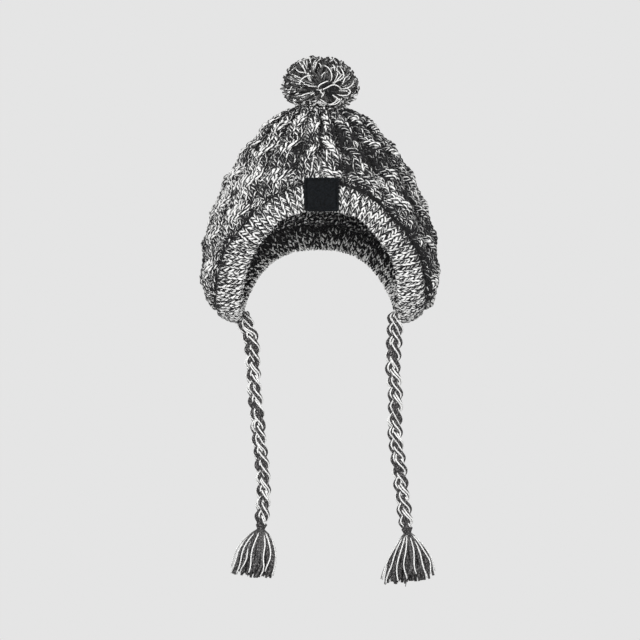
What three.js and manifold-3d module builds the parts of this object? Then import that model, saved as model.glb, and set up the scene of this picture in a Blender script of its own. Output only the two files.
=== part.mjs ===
// Pet pom-pom beanie: a cable-knit crown, a ribbed band round its rim, a plain label on the band,
// a pom-pom on top, and two plaited ties that hang from the flaps and end in tassels.
// Millimetres, +Z up, the face opening towards -Y, left and right as seen from the front.
// The origin is the inside top of the crown, where a head carries the hat.

import * as THREE from 'three';
import { mergeVertices } from 'three/addons/utils/BufferGeometryUtils.js';
import Module from 'manifold-3d';

const wasm = await Module();
wasm.setup();

// Driving dimensions of the knitted shell
const hatWidth = 177; // across the cables at the widest place
const hatDepth = 150; // front to back of the whole dome that the openings are cut from
const hatHeight = 162.5; // from the top of the crown down to the tips of the flaps
const crownWall = 4.5; // cable-knit cloth between the ridges
const cableCount = 18; // cables round the crown
const cableRise = 2.8; // how far a cable stands out of the cloth
const cableSway = 0.16; // share of a cable's width by which it winds from side to side
const cableRound = 0.7; // exponent of a cable's section: below 1 is fuller than a plain wave
const cablePitch = 30; // length of one turn of a cable
const gatherReach = 26; // the cables fade into the gathers this far from the top
const hemRise = 2.2; // the crown's edge rolls out over the band by this much
const hemReach = 15; // width of that roll
const hemTuck = 1.6; // how far the edge itself turns under
const labelFlatFrom = 10; // under the label, out to this angle from the front, the edge is flat
const labelFlatTo = 18; // and from this angle on it has its full roll
const widestDrop = 0.72; // share of hatHeight at which the cables are counted off evenly

// Driving dimensions of the band and the label
const bandWidth = 21.5; // seam to rim
const bandThickness = 6; // ribbed cloth, doubled
const bandSwell = 1.6; // how far the middle of the band stands out
const bandRecess = 2.4; // the band's middle lies this far under the crown's surface at the seam
const labelSize = 26;
const labelThickness = 1.6;
const labelCorner = 2;
const labelRise = 1.8; // how far the label's top edge stands above the seam

// Driving dimensions of the pom-pom
const pompomWidth = 58;
const pompomRise = 24.4; // from its widest level up to its top
const pompomDrop = 18; // from its widest level down into the gathers
const pompomLevel = 13.5; // height of its widest level over the top of the cloth
const pompomLocks = 42;
const pompomLockWidth = 12; // at the root; the cut end is narrower
const pompomLockTip = 9;
const pompomLockRise = 2.8; // the locks stand this far out of the core
const pompomLockRoot = 0.6; // share of the way out at which a lock leaves the core

// Driving dimensions of the ties
const braidDiameter = 11;
const wrapDiameter = 9;
const wrapHeight = 5;
const tasselLength = 36;
const tasselNeck = 8; // width of the tassel under its wrap
const tasselSpread = 37; // width of the tassel at the cut ends
const tasselBow = 5; // how far the outer locks bulge
const tasselHead = 0.3; // share of the tassel's length that is its solid head
const tasselFlare = 1.2; // the head's lower end over its neck
const tasselLocks = 9; // locks in the outer ring; the inner ring has half as many
const tasselLockWidth = 5.5;

const gap = 0.3; // clearance between neighbouring pieces

// Steps of the faceted surfaces
const stepsPerCable = 5;
const crownRows = 17;
const crowding = 0.25; // the crown's rows lie closer towards the seam by this share
const liningRows = 5;
const bandSteps = 64;
const bandSides = 10;
const cordSides = 8;
const cordSteps = 30;

// The crown's upright section, from the top down: drop as a share of hatHeight, reach as a share
// of half the width or depth, square as the exponent of the level section (2 is an ellipse).
const meridianRows = [
  { drop: 0, reach: 0, square: 2 },
  { drop: 0.006, reach: 0.13, square: 2 },
  { drop: 0.026, reach: 0.265, square: 2 },
  { drop: 0.07, reach: 0.395, square: 2.05 },
  { drop: 0.16, reach: 0.56, square: 2.1 },
  { drop: 0.25, reach: 0.69, square: 2.2 },
  { drop: 0.345, reach: 0.795, square: 2.3 },
  { drop: 0.437, reach: 0.873, square: 2.4 },
  { drop: 0.53, reach: 0.936, square: 2.45 },
  { drop: 0.62, reach: 0.98, square: 2.5 },
  { drop: 0.72, reach: 1, square: 2.55 },
  { drop: 0.81, reach: 0.998, square: 2.6 },
  { drop: 0.9, reach: 0.968, square: 2.6 },
  { drop: 0.97, reach: 0.9, square: 2.6 },
];

// The rim of one side, from the middle of the front to the middle of the back. angle (degrees
// from the front) and seam (share of hatHeight) place the seam on the crown. The band leans
// from the seam towards span (share of half the width), depth (share of half the depth) and
// rim (share of hatHeight), and is wide (share of bandWidth) across.
const rimRows = [
  { angle: 0, seam: 0.344, span: 0, depth: -0.827, rim: 0.498, wide: 1.17 },
  { angle: 10.9, seam: 0.36, span: 0.144, depth: -0.827, rim: 0.501, wide: 1.09 },
  { angle: 21.6, seam: 0.395, span: 0.263, depth: -0.82, rim: 0.508, wide: 0.96 },
  { angle: 29.3, seam: 0.434, span: 0.352, depth: -0.807, rim: 0.531, wide: 0.91 },
  { angle: 35.9, seam: 0.487, span: 0.428, depth: -0.79, rim: 0.575, wide: 0.91 },
  { angle: 45.4, seam: 0.566, span: 0.513, depth: -0.745, rim: 0.628, wide: 0.94 },
  { angle: 56, seam: 0.655, span: 0.585, depth: -0.66, rim: 0.695, wide: 1.03 },
  { angle: 62, seam: 0.729, span: 0.631, depth: -0.59, rim: 0.752, wide: 1.04 },
  { angle: 68, seam: 0.803, span: 0.657, depth: -0.505, rim: 0.817, wide: 1.05 },
  { angle: 73, seam: 0.873, span: 0.669, depth: -0.395, rim: 0.892, wide: 1 },
  { angle: 80.5, seam: 0.926, span: 0.68, depth: -0.22, rim: 0.956, wide: 0.96 },
  { angle: 90, seam: 0.946, span: 0.684, depth: -0.02, rim: 0.982, wide: 0.95 },
  { angle: 99.5, seam: 0.94, span: 0.68, depth: 0.18, rim: 0.974, wide: 0.95 },
  { angle: 109, seam: 0.92, span: 0.664, depth: 0.37, rim: 0.953, wide: 0.95 },
  { angle: 118.7, seam: 0.875, span: 0.636, depth: 0.55, rim: 0.915, wide: 0.95 },
  { angle: 129.2, seam: 0.798, span: 0.589, depth: 0.69, rim: 0.856, wide: 0.96 },
  { angle: 141.1, seam: 0.692, span: 0.5, depth: 0.805, rim: 0.789, wide: 1 },
  { angle: 153.8, seam: 0.609, span: 0.381, depth: 0.875, rim: 0.729, wide: 1 },
  { angle: 166.7, seam: 0.558, span: 0.212, depth: 0.915, rim: 0.685, wide: 1 },
  { angle: 180, seam: 0.54, span: 0, depth: 0.925, rim: 0.674, wide: 1 },
];

// The ties' centre lines, chosen by hand, from the flap down to the wrap.
const leftRoute = [
  { x: -57.5, y: -2, z: -150 },
  { x: -56.6, y: -2.4, z: -156 },
  { x: -55, y: -2.8, z: -162 },
  { x: -52.6, y: -3, z: -168 },
  { x: -51, y: -3, z: -176 },
  { x: -50.6, y: -2.6, z: -187 },
  { x: -50, y: -2, z: -199 },
  { x: -49, y: -1.6, z: -211 },
  { x: -47.6, y: -1.6, z: -223 },
  { x: -46.5, y: -2, z: -235 },
  { x: -45.8, y: -2.4, z: -247 },
  { x: -44.2, y: -2.6, z: -259 },
  { x: -43, y: -2.4, z: -271 },
  { x: -42.6, y: -2, z: -284 },
  { x: -42.9, y: -1.6, z: -297 },
  { x: -44, y: -1.4, z: -309 },
];
const rightRoute = [
  { x: 56.8, y: -2, z: -150 },
  { x: 56.4, y: -2.2, z: -156 },
  { x: 56.2, y: -2.4, z: -162 },
  { x: 55.8, y: -2.6, z: -170 },
  { x: 55, y: -2.6, z: -180 },
  { x: 54.5, y: -2.2, z: -192 },
  { x: 56, y: -1.8, z: -205 },
  { x: 56.6, y: -1.6, z: -218 },
  { x: 56, y: -1.8, z: -231 },
  { x: 56.4, y: -2.2, z: -243 },
  { x: 57.8, y: -2.4, z: -255 },
  { x: 59.6, y: -2.2, z: -268 },
  { x: 60.8, y: -1.8, z: -281 },
  { x: 62.6, y: -1.4, z: -294 },
  { x: 63.9, y: -1.2, z: -304 },
  { x: 65, y: -1, z: -312 },
];

// Materials
const knit = (color) => new THREE.MeshStandardMaterial({ color, roughness: 0.95, metalness: 0 });
const crownYarn = knit('#6a6a6c');
const bandYarn = knit('#8b8b8d');
const pompomYarn = knit('#4a4848');
const braidYarn = knit('#6e6e70');
const tasselYarn = knit('#3e3e40');
const labelFace = new THREE.MeshStandardMaterial({ color: '#1b1f24', roughness: 0.7, metalness: 0 });

// Sizes that follow from the driving dimensions
const halfWidth = hatWidth / 2;
const halfDepth = hatDepth / 2;
const baseHalfWidth = halfWidth - cableRise;
const baseHalfDepth = halfDepth - cableRise;

const clamp = THREE.MathUtils.clamp;
const radians = THREE.MathUtils.degToRad;

// A power that keeps its sign, for squared sections.
function signedPower(value, exponent) {
  return Math.sign(value) * Math.abs(value) ** exponent;
}

// A smooth curve through one column of a table, at a share of the table's length.
function columnAt(rows, key, share) {
  const at = clamp(share, 0, 1) * (rows.length - 1);
  const first = Math.min(Math.floor(at), rows.length - 2);
  const t = at - first;
  const value = (index) => {
    if (index < 0) return 2 * rows[0][key] - rows[1][key];
    if (index >= rows.length) return 2 * rows.at(-1)[key] - rows.at(-2)[key];
    return rows[index][key];
  };
  const [a, b, c, d] = [first - 1, first, first + 1, first + 2].map(value);
  const bend = 2 * a - 5 * b + 4 * c - d;
  const twist = 3 * b - a - 3 * c + d;
  return b + 0.5 * ((c - a) * t + bend * t ** 2 + twist * t ** 3);
}

// The share of a table's length at which a rising column reaches a value.
function shareWhere(rows, key, value) {
  let low = 0;
  let high = 1;
  for (let halving = 0; halving < 30; halving += 1) {
    const middle = (low + high) / 2;
    if (columnAt(rows, key, middle) < value) low = middle;
    else high = middle;
  }
  return (low + high) / 2;
}

// A point of the crown's plain surface, at an angle from the front and a share of the way down.
function domePoint(angle, way) {
  const reach = columnAt(meridianRows, 'reach', way);
  const power = 2 / columnAt(meridianRows, 'square', way);
  const drop = columnAt(meridianRows, 'drop', way);
  const across = signedPower(Math.sin(radians(angle)), power);
  const ahead = signedPower(Math.cos(radians(angle)), power);
  return new THREE.Vector3(
    baseHalfWidth * reach * across,
    -baseHalfDepth * reach * ahead,
    crownWall - hatHeight * drop,
  );
}

function domeNormal(angle, way) {
  const small = 0.004;
  const at = Math.max(way, small);
  const around = domePoint(angle + 1, at).sub(domePoint(angle - 1, at));
  const down = domePoint(angle, at + small).sub(domePoint(angle, at - small));
  return down.cross(around).normalize();
}

// The angle at an even share of the way round the widest level, so that all cables are as wide.
const evenAngle = (() => {
  const parts = 720;
  const widest = shareWhere(meridianRows, 'drop', widestDrop);
  const lengths = [0];
  for (let part = 1; part <= parts; part += 1) {
    const before = domePoint(((part - 1) / parts) * 360, widest);
    lengths.push(lengths.at(-1) + before.distanceTo(domePoint((part / parts) * 360, widest)));
  }
  return (share) => {
    const wanted = share * lengths.at(-1);
    const next = clamp(lengths.findIndex((length) => length >= wanted), 1, parts);
    const within = (wanted - lengths[next - 1]) / (lengths[next] - lengths[next - 1]);
    return ((next - 1 + within) / parts) * 360;
  };
})();

// An angle as it is counted in the rim's table, the same on both sides.
function turnedAngle(angle) {
  return Math.abs(THREE.MathUtils.euclideanModulo(angle + 180, 360) - 180);
}

// How far down the seam runs at an angle.
function seamWay(angle) {
  const turned = turnedAngle(angle);
  const station = shareWhere(rimRows, 'angle', turned);
  return shareWhere(meridianRows, 'drop', columnAt(rimRows, 'seam', station));
}

const meridianLength = (() => {
  let length = 0;
  const parts = 60;
  for (let part = 0; part < parts; part += 1) {
    length += domePoint(90, part / parts).distanceTo(domePoint(90, (part + 1) / parts));
  }
  return length;
})();

// The cables, the gathers under the pom-pom and the rolled edge, as a height over the surface at
// a share of the way round and a share of the way down.
function crownRelief(round, way) {
  const angle = evenAngle(round);
  const fromTop = way * meridianLength;
  const toSeam = (seamWay(angle) - way) * meridianLength;
  const turned = turnedAngle(angle);
  const sway = cableSway * Math.sin((2 * Math.PI * fromTop) / cablePitch);
  const ridge = Math.abs(Math.sin(Math.PI * (round * cableCount + sway))) ** cableRound;
  const rising = THREE.MathUtils.smoothstep(fromTop, 0, gatherReach);
  const flat = THREE.MathUtils.smoothstep(turned, labelFlatFrom, labelFlatTo);
  const pressed = toSeam < 2 * hemReach ? flat + (1 - flat) * (toSeam / (2 * hemReach)) : 1;
  const roll = hemRise * flat * Math.sin(Math.PI * clamp(toSeam / hemReach, 0, 1));
  const tuck = hemTuck * (1 - THREE.MathUtils.smoothstep(toSeam, 0, hemReach / 3));
  return (cableRise * ridge * rising + roll) * pressed - tuck;
}

// Geometry helpers

// A closed geometry with shared vertices, no degenerate faces and its faces pointing out.
function closeUp(geometry) {
  const bare = geometry.index ? geometry.toNonIndexed() : geometry.clone();
  for (const name of Object.keys(bare.attributes)) {
    if (name !== 'position') bare.deleteAttribute(name);
  }
  const merged = mergeVertices(bare, 1e-4);
  const corners = merged.index.array;
  const point = (k) => new THREE.Vector3().fromBufferAttribute(merged.attributes.position, k);
  const faces = [];
  let volume = 0;
  for (let face = 0; face < corners.length; face += 3) {
    const [a, b, c] = [corners[face], corners[face + 1], corners[face + 2]];
    if (a === b || b === c || a === c) continue;
    faces.push([a, b, c]);
    volume += point(a).dot(point(b).cross(point(c)));
  }
  merged.setIndex(faces.flatMap(([a, b, c]) => (volume > 0 ? [a, b, c] : [a, c, b])));
  return merged;
}

function toSolid(geometry) {
  const closed = closeUp(geometry);
  return new wasm.Manifold(new wasm.Mesh({
    numProp: 3,
    vertProperties: new Float32Array(closed.attributes.position.array),
    triVerts: new Uint32Array(closed.index.array),
  }));
}

function toGeometry(solid) {
  const mesh = solid.getMesh();
  const geometry = new THREE.BufferGeometry();
  geometry.setAttribute('position', new THREE.BufferAttribute(new Float32Array(mesh.vertProperties), 3));
  geometry.setIndex([...mesh.triVerts]);
  return geometry;
}

function joinAll(geometries) {
  return geometries.map(toSolid).reduce((whole, next) => whole.add(next));
}

function piece(name, geometry, material) {
  geometry.computeVertexNormals();
  const mesh = new THREE.Mesh(geometry, material);
  mesh.name = name;
  return mesh;
}

// Moves each vertex of a grid-like geometry to where place(column, row) puts it.
function reshape(geometry, columns, rowCount, columnFirst, place) {
  const position = geometry.attributes.position;
  for (let column = 0; column <= columns; column += 1) {
    for (let row = 0; row < rowCount; row += 1) {
      const index = columnFirst ? column * rowCount + row : row * (columns + 1) + column;
      const spot = place(column % columns, row);
      position.setXYZ(index, spot.x, spot.y, spot.z);
    }
  }
  return geometry;
}

// The crown, a hollow knitted shell; grown makes it that much fatter all round, as a cutter.
function crownGeometry(grown = 0) {
  const columns = cableCount * stepsPerCable;
  const rowCount = crownRows + liningRows + 2;
  const profile = [];
  for (let row = 0; row < rowCount; row += 1) {
    const onAxis = row === 0 || row === rowCount - 1;
    profile.push(new THREE.Vector2(onAxis ? 0 : 1, -row));
  }
  const lathe = new THREE.LatheGeometry(profile, columns);
  return reshape(lathe, columns, rowCount, true, (column, row) => {
    const round = column / columns;
    const angle = evenAngle(round);
    const outside = row <= crownRows;
    const even = outside ? row / crownRows : 1 - (row - crownRows - 1) / liningRows;
    const share = outside ? even + crowding * even * (1 - even) : even;
    const way = share * (seamWay(angle) + grown / meridianLength);
    const lift = outside ? crownRelief(round, way) + grown : -crownWall - grown;
    if (share === 0) return new THREE.Vector3(0, 0, crownWall + lift);
    return domePoint(angle, way).addScaledVector(domeNormal(angle, way), lift);
  });
}

// Where the band lies at a share of the way round: its seam edge, its rim edge, and the
// directions across it and out of it.
function bandFrame(turn) {
  const side = turn <= 0.5 ? 1 : -1;
  const station = 2 * (turn <= 0.5 ? turn : 1 - turn);
  const edges = (at) => {
    const angle = columnAt(rimRows, 'angle', at);
    const way = shareWhere(meridianRows, 'drop', columnAt(rimRows, 'seam', at));
    const seam = domePoint(angle, way).addScaledVector(domeNormal(angle, way), -bandRecess);
    const rim = new THREE.Vector3(
      halfWidth * columnAt(rimRows, 'span', at),
      halfDepth * columnAt(rimRows, 'depth', at),
      crownWall - hatHeight * columnAt(rimRows, 'rim', at),
    );
    return { seam, rim };
  };
  const here = edges(station);
  const small = 0.01;
  const after = edges(Math.min(station + small, 1));
  const before = edges(Math.max(station - small, 0));
  const width = bandWidth * columnAt(rimRows, 'wide', station);
  const across = here.rim.clone().sub(here.seam).normalize();
  const along = after.seam.add(after.rim).sub(before.seam).sub(before.rim).normalize();
  if (station === 0 || station === 1) along.set(1 - 2 * station, 0, 0);
  const out = across.clone().cross(along).normalize();
  for (const vector of [here.seam, across, out]) vector.x *= side;
  return { seam: here.seam, across, out, width };
}

// A point over the band: share 0 at the seam and 1 at the rim, lift out of its middle.
function bandPoint(turn, share, lift) {
  const { seam, across, out, width } = bandFrame(turn);
  const swell = bandSwell * Math.max(0, 1 - (2 * share - 1) ** 2);
  return seam.addScaledVector(across, share * width).addScaledVector(out, lift + swell);
}

function bandGeometry(grown = 0) {
  const ring = new THREE.TorusGeometry(2, 1, bandSides, bandSteps);
  return reshape(ring, bandSteps, bandSides + 1, false, (column, row) => {
    const around = (2 * Math.PI * row) / bandSides;
    const squared = 2 / 3;
    const reach = signedPower(Math.cos(around), squared) * (bandWidth / 2 + grown);
    const lift = signedPower(Math.sin(around), squared) * (bandThickness / 2 + grown);
    return bandPoint(column / bandSteps, 0.5 + reach / bandWidth, lift);
  });
}

// The label lies flat on the swell of the band, from above the seam down to the rim.
function labelGeometry() {
  const half = labelSize / 2;
  const outline = new THREE.Shape();
  outline.moveTo(-half + labelCorner, -half);
  for (const [x, y, start] of [[1, -1, 270], [1, 1, 0], [-1, 1, 90], [-1, -1, 180]]) {
    const centre = half - labelCorner;
    outline.absarc(x * centre, y * centre, labelCorner, radians(start), radians(start + 90));
  }
  const plate = new THREE.ExtrudeGeometry(outline, {
    depth: labelThickness, bevelEnabled: false, curveSegments: 3, steps: 1,
  });
  const { across, out } = bandFrame(0);
  const middle = bandPoint(0, 0, bandThickness / 2 + bandSwell + gap);
  middle.addScaledVector(across, half - labelRise);
  const right = across.clone().negate().cross(out);
  plate.applyMatrix4(new THREE.Matrix4().makeBasis(right, across.clone().negate(), out));
  plate.translate(middle.x, middle.y, middle.z);
  return closeUp(plate);
}

// A tapered lock of yarn that bows outwards, with its root at the start and its cut end at the tip.
function lockGeometry(start, tip, bow, rootWidth, tipWidth, sides, steps) {
  const lock = new THREE.CylinderGeometry(tipWidth / 2, rootWidth / 2, 1, sides, steps);
  const length = start.distanceTo(tip);
  const axis = tip.clone().sub(start).normalize();
  const turn = new THREE.Quaternion().setFromUnitVectors(new THREE.Vector3(0, 1, 0), axis);
  const position = lock.attributes.position;
  for (let index = 0; index < position.count; index += 1) {
    const share = position.getY(index) + 0.5;
    const spot = new THREE.Vector3(position.getX(index), 0, position.getZ(index));
    spot.applyQuaternion(turn).addScaledVector(axis, share * length).add(start);
    spot.addScaledVector(bow, 4 * share * (1 - share));
    position.setXYZ(index, spot.x, spot.y, spot.z);
  }
  return lock;
}

// The pom-pom: a ball that sags, with its locks fused to it, cut clear of the crown.
function pompomGeometry() {
  const centre = new THREE.Vector3(0, 0, crownWall + pompomLevel);
  const sagged = (point, inset) => point.set(
    point.x * (pompomWidth / 2 - inset),
    point.y * (pompomWidth / 2 - inset),
    point.z * ((point.z > 0 ? pompomRise : pompomDrop) - inset),
  );
  const core = new THREE.SphereGeometry(1, 16, 10);
  const position = core.attributes.position;
  for (let index = 0; index < position.count; index += 1) {
    const spot = new THREE.Vector3().fromBufferAttribute(position, index);
    sagged(spot, pompomLockRise).add(centre);
    position.setXYZ(index, spot.x, spot.y, spot.z);
  }
  const still = new THREE.Vector3();
  const locks = [];
  for (let lock = 0; lock < pompomLocks; lock += 1) {
    const height = 1 - (2 * (lock + 0.5)) / pompomLocks;
    const level = Math.sqrt(1 - height * height);
    const angle = lock * Math.PI * (3 - Math.sqrt(5));
    const tip = sagged(new THREE.Vector3(level * Math.cos(angle), level * Math.sin(angle), height), 0);
    const start = tip.clone().multiplyScalar(pompomLockRoot).add(centre);
    locks.push(lockGeometry(start, tip.add(centre), still, pompomLockWidth, pompomLockTip, 4, 1));
  }
  return toGeometry(joinAll([core, ...locks]).subtract(toSolid(crownGeometry(gap))));
}

// A tie: a plain round tube on its route, cut clear of the band.
function braidGeometry(route) {
  const curve = new THREE.CatmullRomCurve3(route.map(({ x, y, z }) => new THREE.Vector3(x, y, z)));
  const outline = new THREE.Shape();
  for (let side = 0; side < cordSides; side += 1) {
    const angle = (2 * Math.PI * side) / cordSides;
    const spot = [(braidDiameter / 2) * Math.cos(angle), (braidDiameter / 2) * Math.sin(angle)];
    if (side === 0) outline.moveTo(...spot);
    else outline.lineTo(...spot);
  }
  outline.closePath();
  const tube = new THREE.ExtrudeGeometry(outline, { extrudePath: curve, steps: cordSteps });
  const parts = toSolid(tube).subtract(toSolid(bandGeometry(gap))).decompose();
  const lowest = (solid) => solid.boundingBox().min[2];
  return toGeometry(parts.sort((one, other) => lowest(one) - lowest(other))[0]);
}

// Where a tie ends, and which way it points there.
function routeEnd(route) {
  const curve = new THREE.CatmullRomCurve3(route.map(({ x, y, z }) => new THREE.Vector3(x, y, z)));
  const upright = new THREE.Vector3(0, 0, -1);
  const turn = new THREE.Quaternion().setFromUnitVectors(upright, curve.getTangent(1));
  return { spot: curve.getPoint(1), turn };
}

// The wrap: a short barrel of yarn wound round the end of the tie.
function wrapGeometry({ spot, turn }) {
  const barrel = [
    [0, 0], [0.42, 0], [0.5, 0.25], [0.5, 0.75], [0.42, 1], [0, 1],
  ].map(([reach, level]) => new THREE.Vector2(reach * wrapDiameter, -gap - level * wrapHeight));
  const wrap = new THREE.LatheGeometry(barrel, 10);
  wrap.rotateX(Math.PI / 2);
  wrap.applyQuaternion(turn);
  wrap.translate(spot.x, spot.y, spot.z);
  return closeUp(wrap);
}

// The tassel: two rings of locks fused to a head under the wrap.
function tasselGeometry({ spot, turn }) {
  const top = -2 * gap - wrapHeight;
  const headLength = tasselHead * tasselLength;
  const neck = tasselNeck / 2;
  const head = new THREE.CylinderGeometry(neck, neck * tasselFlare, headLength, 12);
  head.rotateX(Math.PI / 2);
  head.translate(0, 0, top - headLength / 2);
  const rings = [
    { count: tasselLocks, spread: 1, offset: 0.5 },
    { count: Math.ceil(tasselLocks / 2), spread: 0.5, offset: 0.25 },
  ];
  const locks = rings.flatMap(({ count, spread, offset }) => (
    Array.from({ length: count }, (_, lock) => {
      const angle = (2 * Math.PI * (lock + offset)) / count;
      const out = new THREE.Vector3(spread * Math.cos(angle), spread * Math.sin(angle), 0);
      const start = out.clone().multiplyScalar(neck / 2);
      start.z = top - headLength / 2;
      const tip = out.clone().multiplyScalar((tasselSpread - tasselLockWidth) / 2);
      tip.z = top - tasselLength;
      const bow = out.clone().multiplyScalar(tasselBow);
      return lockGeometry(start, tip, bow, tasselLockWidth, tasselLockWidth, 4, 2);
    })
  ));
  const tassel = toGeometry(joinAll([head, ...locks]));
  tassel.applyQuaternion(turn);
  tassel.translate(spot.x, spot.y, spot.z);
  return tassel;
}

// The assembly
const beanie = new THREE.Group();
beanie.name = 'pet_pompom_beanie';

const crown = toSolid(crownGeometry());
beanie.add(piece('crown', toGeometry(crown), crownYarn));

const band = toSolid(bandGeometry()).subtract(toSolid(crownGeometry(gap)));
beanie.add(piece('ribbed_band', toGeometry(band), bandYarn));

beanie.add(piece('label_patch', labelGeometry(), labelFace));
beanie.add(piece('pompom', pompomGeometry(), pompomYarn));

const ties = new THREE.Group();
for (const [side, route] of [['left', leftRoute], ['right', rightRoute]]) {
  const end = routeEnd(route);
  ties.add(piece(`${side}_braid`, braidGeometry(route), braidYarn));
  ties.add(piece(`${side}_tassel_wrap`, wrapGeometry(end), braidYarn));
  ties.add(piece(`${side}_tassel`, tasselGeometry(end), tasselYarn));
}
beanie.add(ties);

export default beanie;
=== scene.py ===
"""Dresses the packed pet pom-pom beanie in knitted, plaited and loose yarn."""
import math
from collections import namedtuple

import bmesh
import bpy
import numpy as np
from mathutils import Matrix, Vector


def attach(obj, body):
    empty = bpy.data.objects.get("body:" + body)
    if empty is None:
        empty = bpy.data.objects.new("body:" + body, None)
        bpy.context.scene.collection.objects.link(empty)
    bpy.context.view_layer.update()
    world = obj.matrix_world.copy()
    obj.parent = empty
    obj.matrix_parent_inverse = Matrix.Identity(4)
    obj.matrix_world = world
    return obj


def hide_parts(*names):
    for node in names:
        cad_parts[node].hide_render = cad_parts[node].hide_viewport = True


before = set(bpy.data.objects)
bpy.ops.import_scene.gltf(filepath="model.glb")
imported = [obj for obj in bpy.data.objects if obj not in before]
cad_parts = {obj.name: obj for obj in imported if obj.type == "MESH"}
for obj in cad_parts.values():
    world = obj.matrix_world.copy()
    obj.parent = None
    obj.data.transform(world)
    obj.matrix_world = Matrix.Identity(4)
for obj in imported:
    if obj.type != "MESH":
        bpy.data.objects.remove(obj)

bl_info = {
    "name": "Pet pom-pom beanie",
    "version": (1, 0, 0),
    "blender": (4, 5, 0),
    "location": "View3D > Sidebar > Beanie",
    "description": "Dresses the packed beanie in knitted, plaited and loose yarn",
    "category": "Object",
}

MM = 0.001
TAU = 2 * math.pi
# The turn from each yarn to the next that fills a disk or a ball evenly.
GOLDEN_TURN = math.pi * (3 - math.sqrt(5))

# The hat's own measures in millimetres, as its solids have them.
HALF_WIDTH = 177 / 2
HALF_DEPTH = 150 / 2
HEIGHT = 162.5
WALL = 4.5
CABLES = 18
CABLE_RISE = 2.8
GATHER_REACH = 26
HEM_RISE = 2.2
HEM_REACH = 15
HEM_TUCK = 1.6
BASE_HALF_WIDTH = HALF_WIDTH - CABLE_RISE
BASE_HALF_DEPTH = HALF_DEPTH - CABLE_RISE
BAND_WIDTH = 21.5
BAND_THICKNESS = 6
BAND_SWELL = 1.6
BAND_RECESS = 2.4
POMPOM_WIDTH = 58
POMPOM_RISE = 24.4
POMPOM_DROP = 18
POMPOM_LEVEL = 13.5
LABEL_SIZE = 26
LABEL_THICKNESS = 1.6
LABEL_RISE = 0.4
WRAP_HEIGHT = 5
TASSEL_LENGTH = 36
TASSEL_DRIFT = -3.5
GAP = 0.3

# The crown's relief is pressed flat beside the middle of the front, between two angles in degrees.
# At the flaps' tips, between two shares of the height, it is flatter and drawn in.
RIDGE_BLUNTNESS = 0.7
FRONT_PRESSED = 10, 18
FLAP_DROPS = 0.83, 0.94
FLAP_PRESSED = 0.7
FLAP_TUCK = 1.5
# Past the seam the crown's yarn dives under its edge, at a slope and down to a depth.
DIVE_SLOPE, DIVE_DEPTH = 1.2, 2.4
# Lengths are taken round the crown at its widest drop, and down it at this angle from the front.
WIDEST_DROP = 0.72
SIDE_ANGLE = math.radians(55)

SEEDS = {
    "patches": 7, "tassel_fall": 40, "plait": 50, "knot": 60, "tassel": 70, "crown_front": 80,
    "crown_back": 81, "lining": 82, "band": 90, "pompom": 100,
}

# The crown's upright section from the top down.
Level = namedtuple("Level", "drop reach square")
MERIDIAN = [
    Level(0, 0, 2), Level(0.006, 0.13, 2), Level(0.026, 0.265, 2), Level(0.07, 0.395, 2.05),
    Level(0.16, 0.56, 2.1), Level(0.25, 0.69, 2.2), Level(0.345, 0.795, 2.3),
    Level(0.437, 0.873, 2.4), Level(0.53, 0.936, 2.45), Level(0.62, 0.98, 2.5),
    Level(0.72, 1, 2.55), Level(0.81, 0.998, 2.6), Level(0.9, 0.968, 2.6), Level(0.97, 0.9, 2.6),
]

# The seam and the band's rim on one side, from the middle of the front to the middle of the back.
Station = namedtuple("Station", "angle seam span depth rim wide")
RIM = [Station(*row) for row in (
    (0, 0.344, 0, -0.827, 0.498, 1.1), (10.9, 0.36, 0.144, -0.827, 0.501, 1.05),
    (21.6, 0.395, 0.263, -0.82, 0.508, 0.96), (29.3, 0.434, 0.352, -0.807, 0.531, 0.91),
    (35.9, 0.487, 0.428, -0.79, 0.575, 0.91), (45.4, 0.566, 0.513, -0.745, 0.628, 0.94),
    (56, 0.655, 0.585, -0.66, 0.695, 1.03), (62, 0.729, 0.631, -0.59, 0.752, 1.04),
    (68, 0.803, 0.657, -0.505, 0.817, 1.05), (73, 0.873, 0.669, -0.395, 0.892, 1),
    (80.5, 0.926, 0.68, -0.22, 0.956, 0.96), (90, 0.946, 0.684, -0.02, 0.982, 0.95),
    (99.5, 0.94, 0.68, 0.18, 0.974, 0.95), (109, 0.92, 0.664, 0.37, 0.953, 0.95),
    (118.7, 0.875, 0.636, 0.55, 0.915, 0.93), (129.2, 0.798, 0.589, 0.69, 0.856, 0.92),
    (141.1, 0.692, 0.5, 0.805, 0.789, 0.92), (153.8, 0.609, 0.381, 0.875, 0.729, 0.89),
    (166.7, 0.558, 0.212, 0.915, 0.685, 0.87), (180, 0.54, 0, 0.925, 0.674, 0.87),
)]

# The ties' centre lines, from the flap down to the wrap.
ROUTES = {
    "left": [
        (-57.5, -2, -150), (-56.6, -2.4, -156), (-55, -2.8, -162), (-52.6, -3, -168),
        (-51, -3, -176), (-50.6, -2.6, -187), (-50, -2, -199), (-49, -1.6, -211),
        (-47.6, -1.6, -223), (-46.5, -2, -235), (-45.8, -2.4, -247), (-44.2, -2.6, -259),
        (-43, -2.4, -271), (-42.6, -2, -284), (-42.9, -1.6, -297), (-44, -1.4, -309),
    ],
    "right": [
        (56.8, -2, -150), (56.4, -2.2, -156), (56.2, -2.4, -162), (55.8, -2.6, -170),
        (55, -2.6, -180), (54.5, -2.2, -192), (56, -1.8, -205), (56.6, -1.6, -218),
        (56, -1.8, -231), (56.4, -2.2, -243), (57.8, -2.4, -255), (59.6, -2.2, -268),
        (60.8, -1.8, -281), (62.6, -1.4, -294), (63.9, -1.2, -304), (65, -1, -312),
    ],
}


# The hat's surfaces, worked out for whole arrays of places at once

def signed_power(value, exponent):
    return np.sign(value) * np.abs(value) ** exponent


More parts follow.
